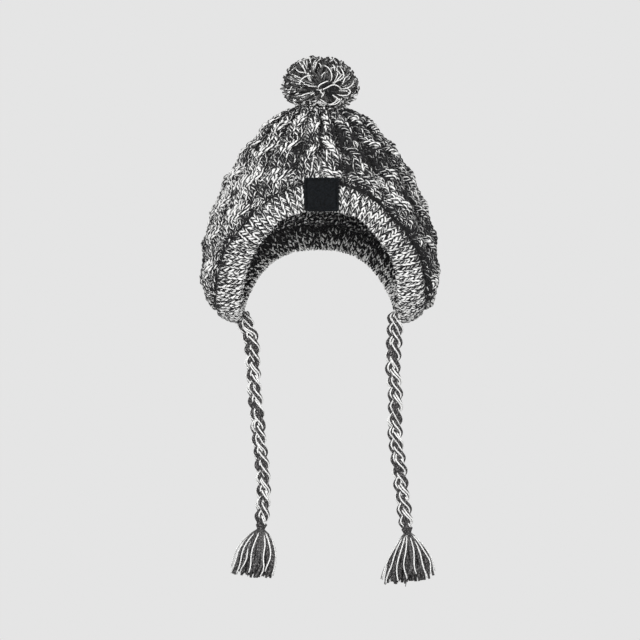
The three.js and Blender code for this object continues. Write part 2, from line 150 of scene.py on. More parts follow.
def smooth(low, high, value):
    """0 below low, 1 above high and an even slope between them."""
    share = np.clip((value - low) / (high - low), 0, 1)
    return share * share * (3 - 2 * share)


def eased(start, share):
    """A factor that goes from start to 1 as a share goes from 0 to 1."""
    return start + (1 - start) * share


def centred(share):
    """A share of a round, counted both ways from its start."""
    return (share + 0.5) % 1 - 0.5


def unit(vectors):
    return vectors / np.maximum(np.linalg.norm(vectors, axis=-1, keepdims=True), 1e-12)


def square_to(axis, vectors):
    """The part of vectors that is square to a unit axis, at unit length."""
    return unit(vectors - axis * (vectors * axis).sum(-1, keepdims=True))


def towards(angle, first, second):
    """Directions at an angle from the first of two towards the second."""
    return np.cos(angle)[..., None] * first + np.sin(angle)[..., None] * second


def read_off(at, marks, table):
    """A table's vectors at places between the marks of its rows."""
    return np.stack([np.interp(at, marks, column) for column in table.T], -1)


def curve_through(values, share):
    """A smooth curve through values, at a share of their whole run."""
    values = np.asarray(values, float)
    padded = np.concatenate([[2 * values[0] - values[1]], values, [2 * values[-1] - values[-2]]])
    at = np.clip(share, 0, 1) * (len(values) - 1)
    first = np.minimum(at.astype(int), len(values) - 2)
    t = at - first
    a, b, c, d = (padded[first + step] for step in range(4))
    if values.ndim > 1:
        t = t[..., None]
    bend = (2 * a - 5 * b + 4 * c - d) * t ** 2
    return b + 0.5 * ((c - a) * t + bend + (3 * b - a - 3 * c + d) * t ** 3)


def column_at(rows, key, share):
    return curve_through([getattr(row, key) for row in rows], np.asarray(share, float))


def share_where(rows, key, value):
    """The share of a table's run at which a rising column reaches a value."""
    shares = np.linspace(0, 1, 3001)
    return np.interp(value, column_at(rows, key, shares), shares)


def dome_point(angle, way):
    """The crown's plain surface at an angle from the front and a share of the way down."""
    angle, way = np.broadcast_arrays(angle, way)
    reach = column_at(MERIDIAN, "reach", way)
    power = 2 / column_at(MERIDIAN, "square", way)
    drop = column_at(MERIDIAN, "drop", way)
    return np.stack([
        BASE_HALF_WIDTH * reach * signed_power(np.sin(angle), power),
        -BASE_HALF_DEPTH * reach * signed_power(np.cos(angle), power),
        WALL - HEIGHT * drop,
    ], -1)


def dome_normal(angle, way):
    turn, step = math.radians(1), 0.004
    way = np.maximum(way, step)
    around = dome_point(angle + turn, way) - dome_point(angle - turn, way)
    down = dome_point(angle, way + step) - dome_point(angle, way - step)
    return unit(np.cross(down, around))


def turned(angle):
    """An angle as the rim's table counts it, in degrees and the same on both sides."""
    return np.abs((np.degrees(angle) + 180) % 360 - 180)


def seam_way(angle):
    station = share_where(RIM, "angle", turned(angle))
    return share_where(MERIDIAN, "drop", column_at(RIM, "seam", station))


class Lengths:
    """Lengths measured once on the crown: round its widest level and down its sides."""

    def __init__(self):
        self.angles = np.linspace(0, TAU, 1441)
        widest = share_where(MERIDIAN, "drop", WIDEST_DROP)
        self.round = self.running(dome_point(self.angles, widest))
        self.round /= self.round[-1]
        self.ways = np.linspace(0, 1, 301)
        self.fall = self.running(dome_point(SIDE_ANGLE, self.ways))
        rings = dome_point(self.angles[None, :], self.ways[:, None])
        self.girth = np.linalg.norm(np.diff(rings, axis=1), axis=-1).sum(1)

    @staticmethod
    def running(points):
        steps = np.linalg.norm(np.diff(points, axis=0), axis=-1)
        return np.concatenate([[0], np.cumsum(steps)])

    def angle_at(self, round_share):
        return np.interp(np.asarray(round_share) % 1, self.round, self.angles)

    def way_at(self, fall):
        return np.interp(fall, self.fall, self.ways)

    def fall_at(self, way):
        return np.interp(way, self.ways, self.fall)

    def girth_at(self, fall):
        return np.interp(self.way_at(fall), self.ways, self.girth)

    def seam_fall(self, round_share):
        return self.fall_at(seam_way(self.angle_at(round_share)))


LENGTHS = Lengths()


def drawn_in(drop):
    """How much the crown is drawn in at a share of its height: fully at the flaps' tips."""
    return smooth(*FLAP_DROPS, drop)


def crown_relief(round_share, way):
    """Height of the cables, the gathers and the rolled edge over the plain surface."""
    fall = LENGTHS.fall_at(way)
    to_seam = LENGTHS.seam_fall(round_share) - fall
    ridge = np.abs(np.sin(np.pi * np.asarray(round_share) * CABLES)) ** RIDGE_BLUNTNESS
    rising = smooth(0, GATHER_REACH, fall)
    beside = smooth(*FRONT_PRESSED, turned(LENGTHS.angle_at(round_share)))
    pressed = eased(beside, np.clip(to_seam / (2 * HEM_REACH), 0, 1))
    roll = HEM_RISE * beside * np.sin(np.pi * np.clip(to_seam / HEM_REACH, 0, 1))
    tuck = HEM_TUCK * (1 - smooth(0, HEM_REACH / 3, to_seam))
    drawn = drawn_in(column_at(MERIDIAN, "drop", way))
    raised = (CABLE_RISE * ridge * rising + roll) * pressed * (1 - FLAP_PRESSED * drawn)
    return raised - tuck - FLAP_TUCK * drawn


def crown_spot(round_share, fall, lift):
    """A place on the crown and the way out of it there; past the seam it dives under the edge."""
    last = LENGTHS.seam_fall(round_share)
    over = np.maximum(fall - last, 0)
    angle, way = LENGTHS.angle_at(round_share), LENGTHS.way_at(np.minimum(fall, last))
    out = dome_normal(angle, way)
    dive = np.minimum(DIVE_SLOPE * over, DIVE_DEPTH)
    height = lift + crown_relief(round_share, way) - dive
    return dome_point(angle, way) + out * height[..., None], out


class BandFrames:
    """The band's seam, width and directions, measured once all the way round its ring."""

    def __init__(self):
        self.turns = np.linspace(0, 1, 1201)
        station, step = 2 * np.minimum(self.turns, 1 - self.turns), 0.01
        seam, rim = self.edges(station)
        after = sum(self.edges(np.minimum(station + step, 1)))
        before = sum(self.edges(np.maximum(station - step, 0)))
        across, along = unit(rim - seam), unit(after - before)
        along[station <= 0] = (1, 0, 0)
        along[station >= 1] = (-1, 0, 0)
        out = unit(np.cross(across, along))
        side = np.where(self.turns <= 0.5, 1.0, -1.0)
        mirror = np.stack([side, np.ones_like(side), np.ones_like(side)], -1)
        self.seam, self.across, self.out = seam * mirror, across * mirror, out * mirror
        self.width = BAND_WIDTH * column_at(RIM, "wide", station)
        self.drawn = drawn_in(column_at(RIM, "seam", station))
        self.length = Lengths.running(self.seam + self.across * self.width[:, None])

    @staticmethod
    def edges(station):
        angle = np.radians(column_at(RIM, "angle", station))
        way = share_where(MERIDIAN, "drop", column_at(RIM, "seam", station))
        seam = dome_point(angle, way) - dome_normal(angle, way) * BAND_RECESS
        rim = np.stack([
            HALF_WIDTH * column_at(RIM, "span", station),
            HALF_DEPTH * column_at(RIM, "depth", station),
            WALL - HEIGHT * column_at(RIM, "rim", station),
        ], -1)
        return seam, rim

    def at(self, turn):
        seam, across, out = (
            read_off(turn, self.turns, table) for table in (self.seam, self.across, self.out))
        return seam, unit(across), unit(out), np.interp(turn, self.turns, self.width)

    def spot(self, length, share, lift):
        """A place over the band at a length round the rim: share 0 at the seam, 1 at the rim."""
        turn = np.interp(length % self.length[-1], self.length, self.turns)
        seam, across, out, width = self.at(turn)
        swell = BAND_SWELL * np.maximum(0, 1 - (2 * share - 1) ** 2)
        place = seam + across * (share * width)[..., None] + out * (lift + swell)[..., None]
        return place, across, out


BAND = BandFrames()


def even_path(route, step):
    """Points at even steps on the smooth curve through a route, in millimetres."""
    dense = curve_through(np.array(route, float), np.linspace(0, 1, 1200))
    run = Lengths.running(dense)
    wanted = np.linspace(0, run[-1], int(run[-1] / step) + 1)
    return read_off(wanted, run, dense), wanted


# Yarn as joined meshes

# The patterns on the yarns start anywhere on so many metres of yarn.
YARN_STARTS = 9


class YarnHeap:
    """Many lengths of yarn in one closed mesh. Each has a UV that runs round and along it."""

    def __init__(self, seed):
        self.chance = np.random.default_rng(seed)
        self.points, self.corners, self.sizes, self.uvs, self.lights = [], [], [], [], []
        self.count = 0

    def lay(self, lines, radii, outs, sides, light=0):
        """Lays one yarn, whose line is (step, 3) in millimetres, or many, with (yarn, step, 3).

        outs point to the faces that are seen. light is how much paler than its dye each yarn is,
        or each step of it: in the crown and the band it carries painted shade and painted
        highlights besides random tone, and in the ties and the pom-pom it says which yarns are
        light."""
        lines = lines.reshape(-1, *lines.shape[-2:])
        yarns, steps = lines.shape[:2]
        radii = np.broadcast_to(radii, (yarns, steps))
        ahead = unit(np.gradient(lines, axis=1))
        outs = square_to(ahead, np.broadcast_to(outs, lines.shape))
        beside = np.cross(ahead, outs)
        angles = np.pi + TAU * np.arange(sides) / sides
        spokes = towards(angles, outs[:, :, None], beside[:, :, None])
        rings = lines[:, :, None] + radii[:, :, None, None] * spokes
        index = np.arange(yarns * steps * sides).reshape(yarns, steps, sides) + self.count
        after = np.roll(index, -1, axis=2)
        quads = np.stack([index[:, :-1], after[:, :-1], after[:, 1:], index[:, 1:]], -1)
        caps = np.stack([index[:, 0, ::-1], index[:, -1]], 1)
        span = np.linalg.norm(np.diff(lines, axis=1), axis=-1)
        along = np.concatenate([np.zeros((yarns, 1)), np.cumsum(span, 1)], 1) * MM
        along += self.chance.uniform(0, YARN_STARTS, (yarns, 1))
        shift = self.chance.uniform(0, 1, (yarns, 1, 1))
        turn = np.arange(sides) / sides
        low, high = turn + shift, turn + 1 / sides + shift
        start, end = along[:, :-1, None], along[:, 1:, None]
        quad_uv = np.stack([np.stack(np.broadcast_arrays(*corner), -1) for corner in (
            (low, start), (high, start), (high, end), (low, end))], -2)
        cap_turn = np.stack([turn[::-1], turn]) + shift
        cap_uv = np.stack(np.broadcast_arrays(cap_turn, along[:, [0, -1], None]), -1)
        self.points.append(rings.reshape(-1, 3))
        self.corners += [quads.ravel(), caps.ravel()]
        self.sizes += [np.full(quads.size // 4, 4), np.full(yarns * 2, sides)]
        self.uvs += [quad_uv.reshape(-1, 2), cap_uv.reshape(-1, 2)]
        if np.ndim(light) < 2:
            light = np.broadcast_to(light, yarns)[:, None]
        self.lights.append(np.broadcast_to(light[..., None], (yarns, steps, sides)).ravel())
        self.count += yarns * steps * sides

    def make(self, name, finish):
        points = np.concatenate(self.points) * MM
        corners = np.concatenate(self.corners)
        sizes = np.concatenate(self.sizes)
        mesh = bpy.data.meshes.new(name)
        mesh.vertices.add(len(points))
        mesh.vertices.foreach_set("co", points.ravel())
        mesh.loops.add(len(corners))
        mesh.loops.foreach_set("vertex_index", corners.astype(np.int32))
        mesh.polygons.add(len(sizes))
        starts = np.concatenate([[0], np.cumsum(sizes)[:-1]])
        mesh.polygons.foreach_set("loop_start", starts.astype(np.int32))
        mesh.polygons.foreach_set("use_smooth", np.ones(len(sizes), bool))
        mesh.update(calc_edges=True)
        yarn_map = mesh.uv_layers.new(name="yarn")
        yarn_map.uv.foreach_set("vector", np.concatenate(self.uvs).ravel().astype(np.float32))
        light = mesh.attributes.new("light", "FLOAT", "POINT")
        light.data.foreach_set("value", np.concatenate(self.lights).astype(np.float32))
        return place_piece(name, mesh, finish)


def place_piece(name, mesh, finish):
    piece = bpy.data.objects.new(name, mesh)
    bpy.context.scene.collection.objects.link(piece)
    mesh.materials.append(finish)
    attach(piece, "root")
    return piece


def close_mesh(name, bm, finish, smooth_faces=True):
    bmesh.ops.recalc_face_normals(bm, faces=bm.faces)
    for face in bm.faces:
        face.smooth = smooth_faces
    mesh = bpy.data.meshes.new(name)
    bm.to_mesh(mesh)
    bm.free()
    return place_piece(name, mesh, finish)


def mould(bm, place):
    """Moves every vertex at once: place takes and gives an array of points."""
    verts = list(bm.verts)
    moved = place(np.array([vert.co for vert in verts]))
    for vert, spot in zip(verts, moved):
        vert.co = spot


# Materials

class Nodes:
    """A node tree, with one method that adds its nodes."""

    def __init__(self, tree):
        self.tree = tree

    def node(self, kind, settings=None, inputs=None):
        node = self.tree.nodes.new(kind)
        for key, value in (settings or {}).items():
            setattr(node, key, value)
        for key, value in (inputs or {}).items():
            value = getattr(value, "socket", value)
            if isinstance(value, bpy.types.NodeSocket):
                self.tree.links.new(value, node.inputs[key])
            else:
                node.inputs[key].default_value = value
        return node


def worked(operation, reflected=False):
    """A method that does an operation on a number inside a material, with a Math node."""
    def method(self, *others):
        return self.work(operation, *((*others, self) if reflected else (self, *others)))
    return method


class Reading:
    """A number inside a material; Python's operators on it add the Math nodes."""

    def __init__(self, finish, socket):
        self.finish = finish
        self.socket = socket

    def work(self, operation, *values):
        node = self.finish.node(
            "ShaderNodeMath", {"operation": operation}, dict(enumerate(values)))
        return Reading(self.finish, node.outputs[0])

    __add__, __radd__ = worked("ADD"), worked("ADD", reflected=True)
    __sub__, __rsub__ = worked("SUBTRACT"), worked("SUBTRACT", reflected=True)
    __mul__, __rmul__ = worked("MULTIPLY"), worked("MULTIPLY", reflected=True)
    __pow__, __abs__ = worked("POWER"), worked("ABSOLUTE")
    fract, sine, least = worked("FRACT"), worked("SINE"), worked("MINIMUM")

    def between(self, low, high):
        node = self.finish.node(
            "ShaderNodeMapRange", {"interpolation_type": "SMOOTHSTEP"},
            {"Value": self, "From Min": low, "From Max": high})
        return Reading(self.finish, node.outputs[0])


class Finish(Nodes):
    """A material with one Principled shader."""

    def __init__(self, name, constants):
        self.material = bpy.data.materials.new(name)
        self.material.use_nodes = True
        super().__init__(self.material.node_tree)
        self.tree.nodes.clear()
        self.shader = self.node("ShaderNodeBsdfPrincipled", {}, constants)
        self.node("ShaderNodeOutputMaterial", {}, {"Surface": self.shader.outputs[0]})

    def read(self, node, output=0):
        return Reading(self, node.outputs[output])

    def join(self, x, y):
        return self.node("ShaderNodeCombineXYZ", {}, {0: x, 1: y}).outputs[0]

    def noise(self, vector, detail, scale=1.0):
        node = self.node("ShaderNodeTexNoise", {}, {
            "Vector": vector, "Scale": scale, "Detail": detail, "Roughness": 0.55})
        return self.read(node, "Fac")

    def blend(self, share, first, second):
        node = self.node("ShaderNodeMix", {"data_type": "RGBA"}, {0: share, 6: first, 7: second})
        return node.outputs[2]

    def dim(self, colour, factor):
        """A colour made darker or lighter by a number."""
        node = self.node("ShaderNodeVectorMath", {"operation": "SCALE"},
                         {0: colour, "Scale": factor})
        return node.outputs[0]

    def colour(self, colour):
        self.tree.links.new(colour, self.shader.inputs["Base Color"])

    def bump(self, height, distance, strength):
        node = self.node("ShaderNodeBump", {}, {
            "Height": height, "Distance": distance, "Strength": strength})
        self.tree.links.new(node.outputs[0], self.shader.inputs["Normal"])


def rgba(colour):
    return (*colour, 1.0)


YARN_SHADER = {
    "Roughness": 0.88, "Specular IOR Level": 0.25,
    "Sheen Weight": 0.04, "Sheen Roughness": 0.6,
}
# What a dark yarn shows where a paler fibre comes to its face.
GREY_FIBRE = (0.038, 0.036, 0.036)

# How often a pattern changes round a yarn, and along it to the metre.
Grain = namedtuple("Grain", "around along")
FIBRE_GRAIN = Grain(9, 260)
FUZZ_GRAIN = Grain(14, 2600)
FLECK_GRAIN = Grain(7, 700)
# The same for the twist's drift and the dye along a yarn, and how far each shifts its plies.
DRIFT_GRAIN, DRIFT_REACH = 110, 1.2
DYE_GRAIN, DYE_REACH = 45, 1.4
# How far fuzz frays the edge of a light ply, and how soft that edge is.
FRAY, EDGE_BLUR = 0.3, 0.06
# The fine twist of a yarn of one dye, in radians to the metre.
FINE_TWIST = 1100
# The noise at which grey fibres, specks and the backing's flecks begin and are full.
GREY_SHOWS, SPECK_SHOWS, FLECK_SHOWS = (0.5, 0.66), (0.52, 0.66), (0.56, 0.64)
# How fine the backing's flecks and fuzz are.
BACKING_FLECK, BACKING_FUZZ = 620.0, 1900.0
# How high the relief of the marled yarn, the plain yarn and the backing is, in metres.
MARL_RELIEF, PLAIN_RELIEF, BACKING_RELIEF = 0.0005, 0.0004, 0.0006

# The dark yarn and its specks in the ties and in the pom-pom, and the flecks of each backing.
TIE_DYES = (0.03, 0.029, 0.03), (0.27, 0.26, 0.26)
POMPOM_DYES = (0.013, 0.012, 0.012), (0.07, 0.067, 0.067)
CROWN_FLECK, BAND_FLECK, POMPOM_FLECK = (0.3, 0.3, 0.3), (0.22, 0.22, 0.22), (0.12, 0.12, 0.12)


def yarn_places(finish):
    """How far round and how far along its yarn a point lies, and two kinds of fibre."""
    spot = finish.node("ShaderNodeUVMap", {"uv_map": "yarn"}).outputs[0]
    parts = finish.node("ShaderNodeSeparateXYZ", {}, {"Vector": spot})
    around, along = finish.read(parts, 0), finish.read(parts, 1)
    fibre = grain_noise(finish, around, along, FIBRE_GRAIN, 3.0)
    fuzz = grain_noise(finish, around, along, FUZZ_GRAIN, 2.0)
    return around, along, fibre, fuzz


def grain_noise(finish, around, along, grain, detail):
    return finish.noise(finish.join(around * grain.around, along * grain.along), detail)


def light_attribute(finish):
    return finish.read(finish.node("ShaderNodeAttribute", {"attribute_name": "light"}), "Fac")


def yarn_bump(finish, strands, fibre, fuzz, distance):
    finish.bump(strands + fibre * 0.5 + fuzz * 0.35, distance, 0.8)


def marled_finish(name, dark, light, light_share, pitch, plies, change):
    """Yarn of dark and light plies twisted together; change is how unevenly it takes its dye."""
    finish = Finish(name, YARN_SHADER)
    # The light attribute holds painted shade and painted highlights, with random tone, on the
    # crown and the band: it moves the share of light ply.
    paler = light_attribute(finish)
    around, along, fibre, fuzz = yarn_places(finish)
    drift = finish.noise(finish.join(along * DRIFT_GRAIN, 0.0), 1.0)
    dye = finish.noise(finish.join(along * DYE_GRAIN, 7.0), 1.0)
    ply = (around * plies + along * (plies / pitch) + drift * DRIFT_REACH).fract()
    edge = abs(ply * 2 - 1)
    reach = edge + (fuzz - 0.5) * FRAY + (dye - 0.5) * DYE_REACH * change + paler
    pale = reach.between(1 - light_share - EDGE_BLUR, 1 - light_share + EDGE_BLUR)
    # Below zero it also darkens both plies: painted shade.
    tone = (fibre * 0.7 + 0.62) * (paler.least(0.0) * 0.8 + 1)
    ground = finish.blend(fuzz.between(*GREY_SHOWS), rgba(dark), rgba(GREY_FIBRE))
    finish.colour(finish.dim(finish.blend(pale, ground, rgba(light)), tone))
    strands = abs((ply * math.pi).sine()) ** 0.6
    yarn_bump(finish, strands * 0.6, fibre, fuzz, MARL_RELIEF)
    return finish.material


def plain_finish(name, dark, speck, light):
    """Yarn of one dye; the light attribute says which. The dark one has paler specks."""
    finish = Finish(name, YARN_SHADER)
    around, along, fibre, fuzz = yarn_places(finish)
    light_yarn = light_attribute(finish)
    tone = fibre * 0.8 + fuzz * 0.25 + 0.45
    fleck = grain_noise(finish, around, along, FLECK_GRAIN, 1.0).between(*SPECK_SHOWS)
    flecked = finish.blend(fleck, rgba(dark), rgba(speck))
    finish.colour(finish.dim(finish.blend(light_yarn, flecked, rgba(light)), tone))
    twist = abs((around * TAU + along * FINE_TWIST).sine()) ** 0.7
    yarn_bump(finish, twist * 0.5, fibre, fuzz, PLAIN_RELIEF)
    return finish.material


def backing_finish(name, dark, light):
    """Dark ground between the stitches, flecked like its yarn; partly painted shade in the gaps.
    """
    finish = Finish(name, YARN_SHADER)
    spot = finish.node("ShaderNodeTexCoord").outputs["Object"]
    fleck = finish.noise(spot, 2.0, BACKING_FLECK)
    fuzz = finish.noise(spot, 2.0, BACKING_FUZZ)
    pale = fleck.between(*FLECK_SHOWS)
    finish.colour(finish.dim(finish.blend(pale, rgba(dark), rgba(light)), fuzz * 0.7 + 0.3))
    finish.bump(fleck + fuzz * 0.5, BACKING_RELIEF, 0.9)
    return finish.material


# Sizes and colours that a user may change

def length_property(name, text, millimetres):
    return bpy.props.FloatProperty(
        name=name, description=text, default=millimetres * MM, min=0, unit="LENGTH",
        subtype="DISTANCE", precision=5)


def colour_property(name, text, default):
    return bpy.props.FloatVectorProperty(
        name=name, description=text, default=default, size=3, min=0, max=1, subtype="COLOR")


def share_property(name, text, default):
    return bpy.props.FloatProperty(
        name=name, description=text, default=default, min=0, max=1, subtype="FACTOR")


def count_property(name, text, default):
    return bpy.props.IntProperty(name=name, description=text, default=default, min=1)


class BeanieKnit(bpy.types.PropertyGroup):
    """Stitches and cables"""
    stitch_width: length_property("Stitch width", "Width of one V of the knit", 5.2)
    stitch_height: length_property("Stitch height", "Height of one row of the knit", 4.0)
    rib_width: length_property("Rib width", "Width of one rib of the band", 4.4)
    rib_height: length_property("Rib height", "Height of one row of the band", 3.4)
    yarn_radius: length_property("Yarn radius", "Half the thickness of the knitted yarn", 1.26)
    cable_share: share_property("Cable share", "Share of a repeat that is knit, not purl", 0.86)
    cross_repeat: length_property("Crossing repeat", "Length from one crossing to the next", 25)
    cross_rise: length_property("Crossing rise", "How far the upper strand stands out", 1.9)
    lining_width: length_property("Purl width", "Width of one purl bump of the lining", 4.2)


class BeanieYarn(bpy.types.PropertyGroup):
    """Dyes of the yarn and the label"""
    dark: colour_property("Dark yarn", "Colour of the dark ply", (0.013, 0.013, 0.015))
    light: colour_property("Light yarn", "Colour of the light ply", (0.9, 0.9, 0.89))
    crown_light: share_property("Light in crown", "Share of light ply in the crown", 0.37)
    band_light: share_property("Light in band", "Share of light ply in the band", 0.495)
    lining_light: share_property("Light in lining", "Share of light ply inside", 0.4)
    twist: length_property("Twist", "Length of one turn of the plies", 12.5)
    label: colour_property("Label", "Colour of the label", (0.003, 0.0042, 0.0056))


class BeanieTies(bpy.types.PropertyGroup):
    """Plaits and tassels"""
    repeat: length_property("Plait repeat", "Length after which the plait repeats", 29)
    reach: length_property("Plait reach", "How far a strand swings to the side", 2.95)
    depth: length_property("Plait depth", "How far a strand swings to and fro", 1.9)
    strand: length_property("Strand", "Distance of the plies from their strand's middle", 1.75)
    tassel_yarns: count_property("Tassel yarns", "Lengths of yarn in one tassel", 120)
    tassel_spread: length_property("Tassel spread", "Width of a tassel at its cut ends", 34)


class BeaniePompom(bpy.types.PropertyGroup):
    """Loose yarn of the pom-pom"""
    yarns: count_property("Yarns", "Lengths of yarn in the pom-pom", 1500)
    loops: count_property("Loops", "Lengths that lie along its surface", 60)
    radius: length_property("Yarn radius", "Half the thickness of its yarn", 0.7)
    light_share: share_property("Light share", "Share of its lengths that are light", 0.3)


class BeanieStage(bpy.types.PropertyGroup):
    """Camera and background"""
    view_width: length_property("View width", "Width that the camera sees at the hat", 480)
    lens: bpy.props.FloatProperty(
        name="Lens", description="Focal length: long, so that nothing is foreshortened",
        default=420, min=20, unit="CAMERA")
    turn: bpy.props.FloatProperty(
        name="Turn", description="Turn of the camera about the hat",
        default=math.radians(-1), unit="ROTATION", subtype="ANGLE")
    height: bpy.props.FloatProperty(
        name="Height", description="Height of the camera's aim", default=-0.156,
        unit="LENGTH", subtype="DISTANCE")
    backdrop: share_property("Backdrop", "Brightness of the plain background", 0.783)
    ambient: share_property("Ambient", "Light from all round", 0.36)


# Stage

# The soft lights: where they stand in metres, how wide they are, and their watts.
Lamp = namedtuple("Lamp", "name place width power")
LAMPS = (
    Lamp("key_light", (-0.7, -1.4, 0.35), 0.9, 17),
    Lamp("low_light", (0.3, -1.5, -0.35), 1.0, 16),
    Lamp("side_light", (1.5, -0.3, 0.2), 1.0, 5),
    Lamp("top_light", (-0.2, 0.2, 1.5), 1.0, 4),
    Lamp("back_light", (-0.3, 1.6, 0.3), 1.4, 14),
)
LIGHTS_AIM = (0, 0, -0.09)
FLOOR_RADIUS = 4
FLOOR_LEVEL = -0.46


class BEANIE_OT_stage(bpy.types.Operator):
    """Sets up the camera, the soft lights, the plain backdrop and the pale floor"""
    bl_idname = "beanie.stage"
    bl_label = "Stage"

    def execute(self, context):
        scene, sizes = context.scene, context.scene.beanie_stage
        camera = bpy.data.objects.new("camera", bpy.data.cameras.new("camera"))
        camera.data.lens = sizes.lens
        distance = sizes.view_width * sizes.lens / camera.data.sensor_width
        camera.location = (
            distance * math.sin(sizes.turn), -distance * math.cos(sizes.turn), sizes.height)
        camera.rotation_euler = (math.radians(90), 0, sizes.turn)
        scene.collection.objects.link(camera)
        scene.camera = camera
        scene.view_settings.view_transform = "Standard"
        for name, place, width, power in LAMPS:
            lamp = bpy.data.lights.new(name, "AREA")
            lamp.shape = "DISK"
            lamp.size = width
            lamp.energy = power
            light = bpy.data.objects.new(name, lamp)
            light.location = place
            aim = Vector(LIGHTS_AIM) - Vector(place)
            light.rotation_euler = aim.to_track_quat("-Z", "Y").to_euler()
            scene.collection.objects.link(light)
        world = bpy.data.worlds.new("backdrop")
        world.use_nodes = True
        scene.world = world
        background = world.node_tree.nodes["Background"]
        background.inputs["Color"].default_value = (1, 1, 1, 1)
        world.node_tree.links.new(
            self.brightness(Nodes(world.node_tree), sizes), background.inputs["Strength"])
        self.floor(scene, sizes)
        return {"FINISHED"}

    def floor(self, scene, sizes):
        bm = bmesh.new()
        bmesh.ops.create_circle(bm, cap_ends=True, segments=96, radius=FLOOR_RADIUS)
        mesh = bpy.data.meshes.new("floor")
        bm.to_mesh(mesh)
        bm.free()
        mesh.transform(Matrix.Translation((0, 0, FLOOR_LEVEL)))
        floor = bpy.data.objects.new("floor", mesh)
        scene.collection.objects.link(floor)
        paint = bpy.data.materials.new("pale_floor")
        paint.use_nodes = True
        nodes = Nodes(paint.node_tree)
        nodes.tree.nodes.clear()
        glow = nodes.node("ShaderNodeEmission", {}, {"Strength": self.brightness(nodes, sizes)})
        nodes.node("ShaderNodeOutputMaterial", {}, {"Surface": glow.outputs[0]})
        mesh.materials.append(paint)

    @staticmethod
    def brightness(nodes, sizes):
        """The backdrop's brightness where it is seen, and the softer ambient light elsewhere."""
        seen = nodes.node("ShaderNodeLightPath").outputs["Is Camera Ray"]
        mix = nodes.node("ShaderNodeMix", {}, {0: seen, 2: sizes.ambient, 3: sizes.backdrop})
        return mix.outputs[0]


# Ties

# The yarns of the ties, in millimetres.
YARN_RADII = {"dark": 1.2, "light": 0.6}
# The plies in each strand of a plait, the length in which they turn once round their strand, and
# how much further out a light one lies, so that it shows.
STRANDS = (
    ("dark", "light", "dark", "light", "dark", "light"),
    ("light", "dark", "light", "light", "dark", "dark"),
    ("light", "light", "dark", "dark", "light", "light", "dark"),
)
PLY_TURN = 44
LIGHT_PLY_OUT = 1.3
# How far on in its turn each strand's plies start, and in its repeat each tie's plait.
STRAND_PHASE, TIE_PHASE = 0.37, 0.2
PATH_STEP = 1.6
# How a plait faces, in degrees.
PLAIT_LEAN = {"left": -31, "right": -29}
# Where a plait thins: at its root, before its knot, and over the run below its broad start.
ROOT_SHARE, ROOT_FROM, ROOT_TO = 0.4, -2.5, 5
END_SHARE, END_RUN = 0.72, 6
BROAD_SHARE, BROAD_RUN = 1.14, 60
PLAIT_CORE = 1.3

# The wound knot narrows from its top. Its yarn keeps off both ends of its height, and its core
# runs past them.
KNOT_TURNS, KNOT_STEPS = 4.3, 90
KNOT_YARN = 0.85
KNOT_REACH, KNOT_NARROWING = 3.7, 1.9
KNOT_START, KNOT_SPARE = 0.4, 0.6
CORE_END, CORE_PAST = 1.9, 1

# How a tassel falls: its width, the unevenness of its yarns, how soon it opens, its stray hairs.
Loose = namedtuple("Loose", "wider uneven bell flick")
LOOSE_TASSEL = {"left": Loose(1.0, 0.04, 3, 1.0), "right": Loose(1.22, 0.14, 1.5, 2.0)}
TASSEL_STEPS = 10
TASSEL_NECK = 2.2
TASSEL_OVERLAP = 1.2
TASSEL_INSET = 0.9
LIGHT_YARNS, LIGHT_RING = 15, 0.99
CUT_LENGTHS = 0.84, 1.04
# How much shorter the outer yarns end, and how much thinner all of them are at their ends.
OUTER_SHORTER, END_THINNER = 0.07, 0.2
# How far the yarns sway, as an angle, and in how many waves.
SWAY, SWAY_WAVES = 0.1, (5, 11)
# Fine hairs stray from some yarns below this step.
HAIRS, HAIR_RADIUS, HAIR_STEP = 36, 0.28, 5


